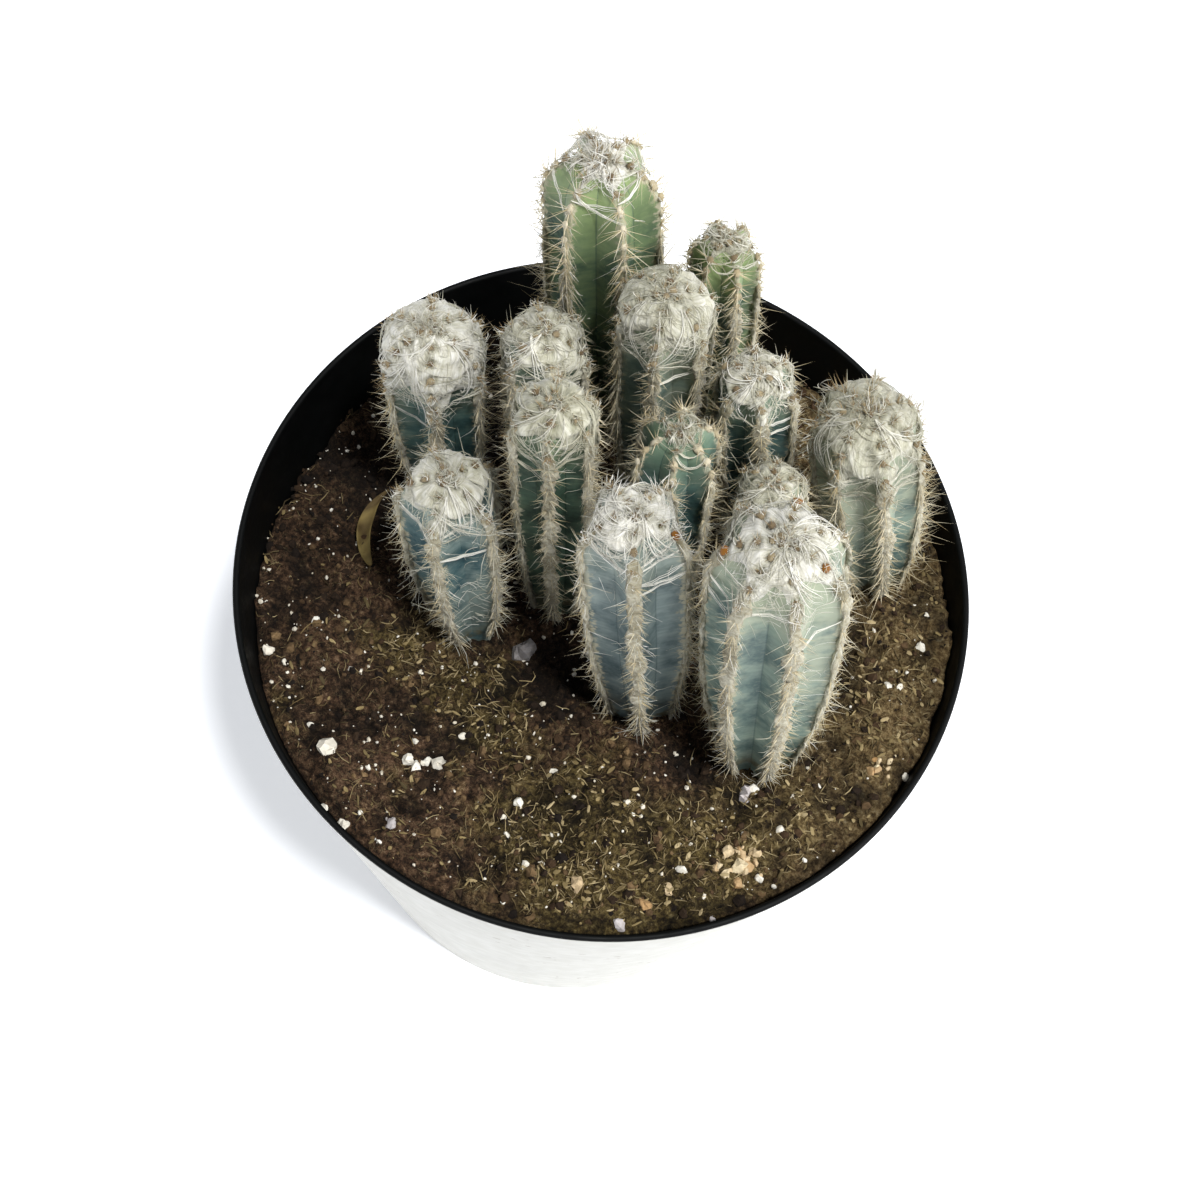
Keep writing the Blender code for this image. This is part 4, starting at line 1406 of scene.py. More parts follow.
@dataclass
class TorchStem:
    """One ribbed stem: its form as in the CAD solid, its skin, and its wool and spines."""

    node: str
    base: tuple[float, float]
    crown: tuple[float, float, float]
    radius: float
    ribs: int
    turn: float
    tone: SkinTone
    seed: int
    cap_mm: float = 14.0
    wool: float = 1.0
    garlands: int = 8
    tuft_mm: float = 1.5
    spine_mm: float = 5.0
    whiteness: float = 0.8
    amber: float = 0.0
    felted: float = 1.0
    streaks: int = 3
    shag: float = 1.0
    hazes: tuple[WoolHaze, ...] = ()

    waist = 0.64
    full_width_at = 0.60
    collar = 0.003
    dome_height = 1.15
    dome_sharpness = 2.3
    dome_arc_share = 1.63
    valley_fold = 0.21
    crest_round = math.radians(5)
    crest_share = 0.985
    melted_share = 0.93
    ring_pitch = 0.0019
    areole_pitch = 0.0040
    top_pitch = 0.0028
    pitch_growth = 1.09
    buried = 0.004
    tip_gap = 0.00035
    crown_caps = 1.15
    crown_fill = 0.9
    fill_slope = 2.2
    strays_drawn = 900
    rib_columns = (0.0, 0.04, 0.085, 0.15, 0.25, 0.38, 0.482, 0.5, 0.518, 0.62, 0.75, 0.85, 0.915, 0.96)

    def __post_init__(self) -> None:
        """Work out the lengths along the stem's outline."""
        self.level = SOIL.plain_height(*self.base)
        self.foot = self.level + self.collar
        self.dome_base = self.crown[2] - self.dome_height * self.radius
        self.straight = self.dome_base - self.level
        self.dome_arc = self.dome_arc_share * self.radius
        self.length = self.straight + self.dome_arc
        self.cap = self.cap_mm * MM
        self.crown_depth = self.crown_caps * self.cap
        self.first_crest = math.radians(self.turn - 90)

    def source(self, layer: Layer) -> Generator:
        """Give the random source of one layer of this stem."""
        return np.random.default_rng(SEED + layer.value + self.seed)

    def wool_fill(self, from_tip: ndarray) -> ndarray:
        """Give how far matted wool fills the valleys at distances from the tip, as a share of its most."""
        return np.clip(self.fill_slope * (1 - from_tip / self.crown_depth), 0, 1)

    def axis(self, z: ndarray) -> ndarray:
        """Give the stem's centre at each height.

        Args:
            z: Heights.

        Returns:
            Places, with the input's shape and 3 at the end.
        """
        share = np.clip((z - self.foot) / (self.crown[2] - self.foot), 0, 1)
        x = self.base[0] + share * (self.crown[0] - self.base[0])
        y = self.base[1] + share * (self.crown[1] - self.base[1])
        return np.stack([x, y, z], axis=-1)

    def outline(self, along: ndarray) -> tuple[ndarray, ndarray, ndarray]:
        """Follow the stem's outline from the soil to its tip.

        Args:
            along: Distances along the outline, from the soil.

        Returns:
            Height, crest radius, and share of the way over the dome.
        """
        dome = np.clip((along - self.straight) / self.dome_arc, 0, 1)
        bend = dome * math.pi / 2
        lift = np.sin(bend) ** (2 / self.dome_sharpness) * (self.crown[2] - self.dome_base)
        z = self.level + np.minimum(along, self.straight) + lift
        share = np.clip((z - self.foot) / (self.crown[2] - self.foot) / self.full_width_at, 0, 1)
        width = self.waist + (1 - self.waist) * share * (2 - share)
        return z, self.radius * width * np.cos(bend), dome

    def from_crest(self, turn: ndarray) -> ndarray:
        """Give the angle from each direction to the nearest rib crest."""
        pitch = math.tau / self.ribs
        return np.abs((turn - self.first_crest + pitch / 2) % pitch - pitch / 2)

    def star(self, turn: ndarray) -> ndarray:
        """Give the section's radius as a share of the crest radius: flat panels folded in at each valley.

        Args:
            turn: Directions round the axis.

        Returns:
            The shares.
        """
        half = math.pi / self.ribs
        valley = math.cos(half) - self.valley_fold
        off = self.from_crest(turn)
        panel = valley * math.sin(half) / (np.sin(off) + valley * np.sin(half - off))
        soft = np.exp(-(off / self.crest_round) ** 2)
        return panel * (1 - soft) + self.crest_share * soft

    def surface(self, along: ndarray, turn: ndarray, fill: ndarray | float = 0.0) -> ndarray:
        """Give points of the skin, whose ribs melt into one another at the crown.

        Args:
            along: Distances along the outline.
            turn: Directions round the axis.
            fill: How far wool fills the valleys, from 0 to 1.

        Returns:
            Places, with the inputs' shape and 3 at the end.
        """
        z, radius, dome = self.outline(along)
        melt = np.maximum(0.75 * dome ** 2, fill)
        reach = radius * (self.star(turn) * (1 - melt) + self.melted_share * melt)
        return self.axis(z) + reach[..., None] * np.stack([np.cos(turn), np.sin(turn), 0 * turn], axis=-1)

    def flow(self, along: ndarray, turn: ndarray, across: float, lengthwise: float) -> ndarray:
        """Give places on the unrolled skin, shortened along the hairs, for streaks in a finish.

        Args:
            along: Distances along the outline.
            turn: Directions round the axis, swirled where the hairs swirl.
            across: Share of true length kept round the stem.
            lengthwise: Share of true length kept along the stem.

        Returns:
            Vectors, n by 3.
        """
        reach = across * 0.8 * self.radius
        flow = np.stack([reach * np.cos(turn), reach * np.sin(turn), lengthwise * along], axis=-1)
        return flow.reshape(-1, 3)

    def frame_at(self, along: ndarray, turn: ndarray) -> tuple[ndarray, ndarray, ndarray]:
        """Give the outward, upward and sideways directions of the skin.

        Args:
            along: Distances along the outline.
            turn: Directions round the axis.

        Returns:
            Three arrays of unit vectors.
        """
        small = 0.2 * MM
        up = unit(self.surface(along + small, turn) - self.surface(along - small, turn))
        radial = np.stack([np.cos(turn), np.sin(turn), 0 * turn], axis=-1)
        side = np.stack([-np.sin(turn), np.cos(turn), 0 * turn], axis=-1)
        out = unit(np.cross(side, up))
        out *= np.sign(np.sum(out * (radial + np.array([0, 0, 1.0])), axis=-1, keepdims=True))
        return out, up, side

    def haze_at(self, along: ndarray, turn: ndarray) -> ndarray:
        """Give how thick the film of fine wool is: most under the cap, some beside each rib and in patches.

        Args:
            along: Distances along the outline.
            turn: Directions round the axis.

        Returns:
            Thickness, from 0 to 1.2.
        """
        rise = along / self.length
        below_cap = np.clip((self.length - along) / self.cap - 0.6, 0, 1)
        beside_rib = np.exp(-(self.from_crest(turn) / 0.2) ** 2)
        film = 0.7 * self.wool * (1 - below_cap) + 0.3 * beside_rib + 0.12
        return np.clip(film + sum(haze.at(rise, turn) for haze in self.hazes), 0, 1.2)

    def build_body(self) -> Object:
        """Make the ribbed body with its crest, rise, haze and flow attributes.

        Returns:
            The body, which stands for its CAD node.
        """
        pitch = math.tau / self.ribs
        turns = np.concatenate([self.first_crest + pitch * (rib + np.array(self.rib_columns))
                                for rib in range(self.ribs)])
        rows = int(self.length / self.ring_pitch)
        along = np.linspace(-self.buried, self.length - self.tip_gap, rows)
        grid_along, grid_turn = np.meshgrid(along, turns, indexing="ij")
        points = self.surface(grid_along, grid_turn)
        points[..., 2] += np.minimum(grid_along, 0)
        out, _, _ = self.frame_at(np.clip(grid_along, 0, None), grid_turn)
        crest = 1 - self.from_crest(grid_turn) / (pitch / 2)
        uneven = ripple(points.reshape(-1, 3), 18.0, self.seed).reshape(rows, len(turns)) * 0.13
        fade = np.clip((self.length - grid_along) / self.radius, 0, 1)
        flat = (points + out * (uneven * fade * MM)[..., None]).reshape(-1, 3)
        marks = {"crest": crest.ravel(), "rise": np.clip(grid_along / self.length, 0, 1).ravel(),
                 "haze": self.haze_at(grid_along, grid_turn).ravel(),
                 "flow": self.flow(grid_along, grid_turn, across=0.2, lengthwise=1.0)}
        return keep_loft(f"{self.node}_body", flat, lattice_faces(rows, len(turns)), marks,
                         material_of(self.tone), self.node)

    def areoles(self) -> Areoles:
        """Place the areoles along every crest, closer together towards the crown.

        Returns:
            The areoles.
        """
        along, turn = [], []
        for rib in range(self.ribs):
            from_top, gap = (1.0 + 1.2 * (rib % 2)) * MM, self.top_pitch
            while from_top < self.length - self.collar:
                along.append(self.length - from_top)
                turn.append(self.first_crest + math.tau * rib / self.ribs)
                from_top += gap
                gap = min(self.areole_pitch, gap * self.pitch_growth)
        along, turn = np.array(along), np.array(turn)
        out, up, side = self.frame_at(along, turn)
        return Areoles(along, turn, self.surface(along, turn), out, up, side, self.length - along)

    def build_cushions(self, areoles: Areoles) -> None:
        """Set the felt cushion of each areole: small, brown and proud at the crown, cream and long below.

        Args:
            areoles: The areoles to dress.
        """
        draw = self.source(Layer.CUSHIONS)
        count = len(areoles.along)
        young = areoles.from_top < self.crown_depth
        half = draw.uniform(0.75, 1.2, (count, 3)) * np.array([0.85, 1.4, 0.5]) * MM
        # Most young cushions lie hidden in the wool
        half[young] = draw.uniform(0.7, 1.15, (young.sum(), 3)) * np.array([0.85, 0.9, 0.55]) * MM
        half[young & (draw.uniform(0, 1, count) < 0.45)] *= 0.45
        # Just below the cap a few cushions are broad and amber
        ripe = (areoles.from_top > 0.55 * self.cap) & (draw.uniform(0, 1, count) < self.amber)
        half[young & ripe] = np.array([1.0, 1.05, 0.6]) * MM
        brown = np.where(ripe, 0.0, draw.uniform(0.36, 0.6, count))
        tint = np.where(young, brown, draw.uniform(0.55, 1.0, count))
        lift = np.where(young, 0.75, 0.1)[:, None] * MM
        keep_piece(set_cushions(f"{self.node}_areoles", areoles.place + areoles.outward * lift, areoles.outward,
                                half, tint, material_of(AREOLE_FELT), lumpiness=0.5, lump_pitch_mm=0.8,
                                detail=1, lie=areoles.upward))

    def build_rib_felt(self) -> float:
        """Lay a ragged strip of felt along every crest, from the soil up to the crown.

        Returns:
            Distance along the outline at which the strips end.
        """
        top = min(self.length - 0.75 * self.cap, self.felted * self.length)
        rows, around = int(top / (0.9 * MM)), 8
        crests = self.first_crest + math.tau * np.arange(self.ribs) / self.ribs
        crest, along = np.meshgrid(crests, np.linspace(0, top, rows), indexing="ij")
        out, _, side = self.frame_at(along, crest)
        centre = self.surface(along, crest)
        spots = centre.reshape(-1, 3)
        ends = np.sqrt(np.clip(np.minimum(along, top - along) / (2 * MM), 0.05, 1)).ravel()
        width = (1.4 + 0.35 * ripple(spots, 5.0, self.seed + 80)) * ends
        height = (0.5 + 0.2 * ripple(spots, 3.6, self.seed + 81)) * ends
        lean = 0.28 * ripple(spots, 7.0, self.seed + 82)
        shape = (self.ribs, rows, 1)
        turns = math.tau * np.arange(around) / around
        aside = (lean.reshape(shape) + np.maximum(width, 0.3).reshape(shape) * np.cos(turns)) * MM
        above = (0.15 + np.maximum(height, 0.15).reshape(shape) * np.sin(turns)) * MM
        points = centre[:, :, None] + side[:, :, None] * aside[..., None] + out[:, :, None] * above[..., None]
        flat = points.reshape(-1, 3)
        rough = np.stack([ripple(flat, 1.3, self.seed + 83 + i) for i in range(3)], axis=-1)
        flat = flat + 0.2 * rough * MM
        strip = lattice_faces(rows, around)
        faces = np.concatenate([strip + rib * rows * around for rib in range(self.ribs)])
        fade = np.clip(along / (0.25 * self.length), 0.35, 1)
        tint = np.repeat((0.72 + 0.25 * ripple(spots, 4.5, self.seed + 90)) * fade.ravel(), around)
        keep_loft(f"{self.node}_rib_felt", flat, faces, {"tint": np.clip(tint, 0, 1)},
                  material_of(RIB_FELT))
        return top

    def build_spines(self, areoles: Areoles) -> None:
        """Stand the spreading spines, the longer central ones, and short amber ones at the crown.

        Args:
            areoles: The areoles to dress.
        """
        draw = self.source(Layer.SPINES)
        roots, aims, reaches, tints = [], [], [], []
        count = len(areoles.along)
        young = areoles.from_top < self.cap
        for repeats, tilt, size in ((10, (42, 84), (0.45, 0.95)), (1, (5, 40), (0.7, 1.2))):
            for _ in range(repeats):
                lean = np.radians(draw.uniform(*tilt, count))
                # Spreading spines fan to both sides of the rib more than along it
                swing = np.radians(draw.choice([-90.0, 90.0], count) + draw.normal(0, 40, count))
                flat = np.cos(swing)[:, None] * areoles.upward + np.sin(swing)[:, None] * areoles.sideways
                aim = np.cos(lean)[:, None] * areoles.outward + np.sin(lean)[:, None] * flat
                aims.append(unit(np.where(young[:, None], aim + areoles.outward, aim)))
                shrink = np.where(young, 0.6, 1.0)
                reaches.append(draw.uniform(*size, count) * self.spine_mm * shrink * MM)
                roots.append(areoles.place)
                tints.append(np.where(young, draw.uniform(0, 0.5, count), draw.uniform(0.45, 1.0, count)))
        aim, reach, root = np.concatenate(aims), np.concatenate(reaches), np.concatenate(roots)
        tips = root + aim * reach[:, None]
        inside = np.linalg.norm(tips[:, :2], axis=1) < POT.rim_radius - 0.5 * MM
        above = tips[:, 2] > np.array([SOIL.plain_height(x, y) for x, y in tips[:, :2]]) - 0.5 * MM
        keep = inside & above
        girth = draw.uniform(0.06, 0.1, keep.sum()) * MM
        tint = np.concatenate(tints)[keep]
        keep_piece(stand_needles(f"{self.node}_spines", root[keep], aim[keep], reach[keep], girth,
                                 material_of(STRAW_SPINE), tint))

    def wander(self, along: ndarray, turn: ndarray, heading: ndarray, step: ndarray,
               bend: ndarray, lift: ndarray, lowest: float, fill: float,
               draw: Generator) -> ndarray:
        """Lead hairs over the skin, each bending as it goes.

        Args:
            along: Start of each hair along the outline.
            turn: Start direction of each hair round the axis.
            heading: First direction on the skin, 0 sideways and a quarter turn upwards.
            step: Length of one step of each hair.
            bend: Change of heading a step of each hair, in radians.
            lift: Height over the skin, hairs by points.
            lowest: Distance along the outline below which no hair goes.
            fill: How far the wool under the hairs fills the valleys at the crown, from 0 to 1.
            draw: The random source.

        Returns:
            Paths, hairs by points by 3.
        """
        along, turn, heading = along.copy(), turn.copy(), heading.copy()
        points = lift.shape[1]
        paths = np.zeros((len(along), points, 3))
        top = self.length - 0.6 * MM
        for i in range(points):
            out, _, _ = self.frame_at(along, turn)
            filled = fill * self.wool_fill(self.length - along)
            paths[:, i] = self.surface(along, turn, filled) + out * lift[:, i:i + 1]
            heading += bend + draw.normal(0, 0.06, len(along))
            _, radius, _ = self.outline(along)
            along = along + step * np.sin(heading)
            turn = turn + step * np.cos(heading) / np.maximum(radius * 0.9, 1.2 * MM)
            over = along > top
            along = np.where(over, 2 * top - along, along)
            turn = np.where(over, turn + math.pi, turn)
            heading = np.where(over, -heading, heading)
            along = np.maximum(along, lowest)
        return paths

    def hairs(self, name: str, paths: ndarray, girth_mm: float, draw: Generator,
              tint: tuple[float, float]) -> None:
        """Sweep hair paths into tapering strands and keep them.

        Args:
            name: The piece's name.
            paths: Hairs by points by 3.
            girth_mm: Usual radius in millimetres.
            draw: The random source.
            tint: Range of shades.
        """
        count, points = paths.shape[:2]
        taper = np.interp(np.linspace(0, 1, points), [0, 0.2, 0.7, 1], [0.8, 1.0, 0.8, 0.25])
        girth = girth_mm * MM * (0.6 + 1.3 * draw.uniform(0, 1, (count, 1)) ** 2) * taper[None]
        shade = np.clip(draw.uniform(*tint, count) + self.whiteness - 0.8, 0, 1)
        keep_piece(sweep_strands(name, paths, girth, material_of(SILK_WOOL), shade))

    def build_crown_felt(self, crown: Areoles) -> None:
        """Lay matted wool over the crown, ragged at its edge and dimpled brown at each areole.

        Args:
            crown: The areoles within the cap.
        """
        depth = self.crown_depth
        rows, around = max(14, int(depth / (0.55 * MM))), 14 * self.ribs
        along = np.linspace(self.length - depth, self.length - 0.3 * MM, rows)
        turns = math.tau * np.arange(around) / around
        grid_along, grid_turn = np.meshgrid(along, turns, indexing="ij")
        skin = self.surface(grid_along, grid_turn).reshape(-1, 3)
        share = ((grid_along - along[0]) / depth).ravel()
        ragged = share * 2.6 - 0.42 + 0.36 * ripple(skin, 6.0, self.seed + 50)
        ragged += 0.35 * (np.exp(-(self.from_crest(grid_turn).ravel() / 0.16) ** 2) - 0.3)
        cover = np.clip(ragged, 0, 1)
        cover = cover * cover * (3 - 2 * cover)
        fill = (self.crown_fill * cover * np.clip(self.fill_slope * share, 0, 1)).reshape(rows, around)
        points = self.surface(grid_along, grid_turn, fill).reshape(-1, 3)
        out = self.frame_at(grid_along, grid_turn)[0].reshape(-1, 3)
        away = np.linalg.norm(points[:, None] - crown.place[None], axis=2).min(axis=1)
        pit = np.exp(-(away / (0.95 * MM)) ** 2)
        # Locks lie over one another as soft ridges that swirl about the tip
        bent = grid_turn + 0.35 * ripple(skin, 11.0, self.seed + 55).reshape(grid_turn.shape)
        swirl = np.sin(2.0 * self.ribs * bent.ravel() + 500 * grid_along.ravel())
        lumps = (0.15 * ripple(skin, 3.4, self.seed + 60) + 0.2 * ripple(skin, 1.5, self.seed + 70)
                 + 0.12 * swirl)
        raised = -0.5 + cover * (1.25 + 0.3 * self.wool + lumps - 0.9 * pit)
        raised *= np.clip((self.length - grid_along.ravel()) / (1.5 * MM), 0.3, 1)
        raised[share < 1e-6] = -0.7
        tint = np.clip((self.whiteness + 0.18 * lumps) * (1 - 0.6 * pit), 0, 1)
        marks = {"tint": tint, "flow": self.flow(grid_along, bent, across=1.0, lengthwise=0.16)}
        keep_loft(f"{self.node}_crown_felt", points + out * raised[:, None] * MM, lattice_faces(rows, around),
                  marks, material_of(CROWN_FELT))

    def build_cap_wool(self, crown: Areoles) -> None:
        """Wrap the crown in locks of long silky hairs that flow down from the tip and sweep over one another.

        Args:
            crown: The areoles within the cap.
        """
        draw = self.source(Layer.CAP_WOOL)
        locks, each, points = int(1.35 * self.wool * len(crown.along)), 5, 7
        count = locks * each
        lock = np.repeat(np.arange(locks), each)
        home = draw.integers(0, len(crown.along), locks)[lock]
        along = crown.along[home] + draw.normal(0, 0.35, count) * MM
        _, radius, _ = self.outline(along)
        aside = by_lock(draw, locks, each, 2.0, 0.35) * MM
        turn = crown.turn[home] + aside / np.maximum(radius, 2 * MM)
        flowing = draw.uniform(0, 1, locks) < 0.7
        first = np.where(flowing, -math.pi / 2 + draw.normal(0, 0.6, locks), draw.uniform(0, math.tau, locks))
        heading = first[lock] + draw.normal(0, 0.13, count)
        bend = by_lock(draw, locks, each, 0.13, 0.05)
        step = draw.uniform(0.9, 2.2, locks)[lock] * draw.uniform(0.85, 1.15, count) * MM
        rise = draw.uniform(-0.1, 0.55, locks)[lock] + draw.uniform(-0.15, 0.2, count)
        lift = (0.95 + np.maximum(0, rise)[:, None] * np.sin(np.linspace(0.15, 2.8, points))[None]) * MM
        paths = self.wander(along, turn, heading, step, bend, lift, self.length - 1.1 * self.cap,
                            self.crown_fill, draw)
        self.hairs(f"{self.node}_cap_wool", paths, 0.06, draw, (0.4, 0.85))

    def build_fuzz(self) -> None:
        """Cover the crown in short fine hairs that stand out of the felt and lean as it flows."""
        draw = self.source(Layer.FUZZ)
        count, points = int(130 * self.wool * self.cap * self.radius / (10 * MM) ** 2 + 130), 3
        depth = self.cap * draw.uniform(0.03, 1.0, count)
        along, turn = self.length - depth, draw.uniform(0, math.tau, count)
        out, up, side = self.frame_at(along, turn)
        root = self.surface(along, turn, self.crown_fill * self.wool_fill(depth)) + 0.4 * MM * out
        aim = unit(out + 0.7 * draw.normal(0, 1, (count, 1)) * side
                   - draw.uniform(-0.3, 0.9, (count, 1)) * up)
        reach = draw.uniform(0.8, 2.1, (count, 1)) * MM
        curl = draw.normal(0, 0.35, (count, 3)) - 0.5 * out
        self.hairs(f"{self.node}_fuzz", curled_paths(root, reach * aim, reach * curl, points), 0.05, draw,
                   (0.5, 1.0))

    def build_streaks(self) -> None:
        """Draw a few long bright strands that flow down from the tip over the cap."""
        draw = self.source(Layer.STREAKS)
        each, points = 6, 12
        count = self.streaks * each
        start = np.repeat(self.length - self.cap * draw.uniform(0.08, 0.3, self.streaks), each)
        along = start + draw.normal(0, 0.15, count) * MM
        turn = by_lock(draw, self.streaks, each, 1.0, 0.03, -math.pi / 2)
        heading = by_lock(draw, self.streaks, each, 0.3, 0.04, -math.pi / 2)
        reach = np.repeat(self.cap * draw.uniform(0.65, 1.1, self.streaks), each)
        step = reach / points * draw.uniform(0.8, 1.0, count)
        bend = by_lock(draw, self.streaks, each, 0.05, 0.012)
        arch = np.sin(np.linspace(0.15, 2.9, points))
        lift = (1.1 + draw.uniform(0.1, 0.5, (count, 1)) * arch) * MM
        paths = self.wander(along, turn, heading, step, bend, lift, 2 * MM, self.crown_fill, draw)
        self.hairs(f"{self.node}_streaks", paths, 0.075, draw, (0.85, 1.0))

    def build_tufts(self, crown: Areoles) -> None:
        """Stand a tuft of wool on each areole of the crown, its tips drawn together.

        Args:
            crown: The areoles within the cap.
        """
        draw = self.source(Layer.TUFTS)
        each, points = 6, 4
        count = len(crown.along) * each
        tuft = np.repeat(np.arange(len(crown.along)), each)
        lean = draw.normal(0, 0.4, (len(crown.along), 3))[tuft]
        aim = unit(crown.outward[tuft] + lean + 0.2 * crown.upward[tuft] + draw.normal(0, 0.12, (count, 3)))
        reach = draw.uniform(0.5, 1.15, (count, 1)) * self.tuft_mm * MM
        spread = draw.normal(0, 0.7, (count, 3)) * MM
        root = crown.place[tuft] + 0.5 * MM * crown.outward[tuft] + spread
        droop = draw.normal(0, 0.25, (count, 3)) * reach - 0.6 * spread
        self.hairs(f"{self.node}_tufts", curled_paths(root, reach * aim, droop, points), 0.075, draw,
                   (0.65, 1.0))

    def build_rib_wool(self, top: float) -> None:
        """Grow short curly wool out of the felt of every rib.

        Args:
            top: Distance along the outline at which the strips end.
        """
        draw = self.source(Layer.RIB_WOOL)
        top = max(top, 0.93 * self.length)
        count, points = int(1.55 * self.shag * self.ribs * top / MM), 3
        along = draw.uniform(0, top, count)
        turn = self.first_crest + math.tau * draw.integers(0, self.ribs, count) / self.ribs
        out, up, side = self.frame_at(along, turn)
        aside = draw.normal(0, 0.95, (count, 1))
        root = self.surface(along, turn) + (side * aside + out * (0.45 - 0.25 * np.abs(aside))) * MM
        aim = unit(out * draw.uniform(0.1, 0.9, (count, 1)) + up * draw.normal(-0.1, 0.6, (count, 1))
                   + side * (0.9 * aside + draw.normal(0, 0.5, (count, 1))))
        curl = 0.6 * draw.normal(0, 0.5, (count, 3))
        reach = (0.8 + 2.4 * self.shag * draw.uniform(0, 1, (count, 1)) ** 2) * MM
        self.hairs(f"{self.node}_rib_wool", curled_paths(root, reach * aim, reach * curl, points), 0.055, draw,
                   (0.3, 0.85))

    def build_veil(self) -> None:
        """Draw ropes of wool that sag from rib to rib below the cap, and loose hairs where film is thick."""
        draw = self.source(Layer.VEIL)
        pitch, points, each = math.tau / self.ribs, 7, 5
        rope = np.repeat(np.arange(self.garlands), each)
        count = len(rope)
        rib = draw.integers(0, self.ribs, self.garlands)[rope]
        high = (self.length - self.cap * draw.uniform(0.7, 1.5, self.garlands))[rope]
        slope = by_lock(draw, self.garlands, each, 2.2, 0.25)
        sag = draw.uniform(0.3, 3.4, self.garlands)[rope] + draw.normal(0, 0.15, count)
        share = np.linspace(0, 1, points)[None]
        along = high[:, None] + (slope[:, None] * share - sag[:, None] * np.sin(math.pi * share)) * MM
        along = np.clip(along, 2 * MM, self.length - 1.5 * MM)
        turn = self.first_crest + pitch * (rib[:, None] + share) + draw.normal(0, 0.02, (count, 1))
        out = self.frame_at(along, turn)[0]
        lift = 0.6 + draw.uniform(0.3, 0.8, (count, 1)) * np.sin(math.pi * share)
        ropes = self.surface(along, turn) + out * (lift * MM)[..., None]
        # Loose hairs are drawn all over and kept where the film is
        drawn = self.strays_drawn
        start, where = draw.uniform(0.1, 0.97, drawn) * self.length, draw.uniform(0, math.tau, drawn)
        thick = self.haze_at(start, where) - 0.75 * self.wool * (self.length - start < 0.9 * self.cap)
        kept = draw.uniform(0.15, 1.6, drawn) < thick
        start, where, loose = start[kept], where[kept], int(kept.sum())
        heading = draw.normal(-0.5, 0.9, loose) + math.pi * draw.integers(0, 2, loose)
        low = np.repeat(draw.uniform(0.3, 0.9, (loose, 1)), points, axis=1) * MM
        strays = self.wander(start, where, heading, draw.uniform(0.5, 1.5, loose) * MM,
                             draw.normal(0, 0.22, loose), low, 2 * MM, 0.0, draw)
        self.hairs(f"{self.node}_garlands", ropes, 0.07, draw, (0.7, 1.0))
        if loose:
            self.hairs(f"{self.node}_strays", strays, 0.045, draw, (0.5, 0.95))

    def build(self) -> None:
        """Make every piece of the stem."""
        self.build_body()
        areoles = self.areoles()
        crown = areoles.chosen(areoles.from_top < self.cap)
        top = self.build_rib_felt()
        self.build_cushions(areoles.chosen(areoles.along > top - 2 * MM))
        self.build_spines(areoles)
        self.build_crown_felt(crown)
        self.build_cap_wool(crown)
        self.build_fuzz()
        self.build_streaks()
        self.build_tufts(crown)
        self.build_rib_wool(top)
        self.build_veil()


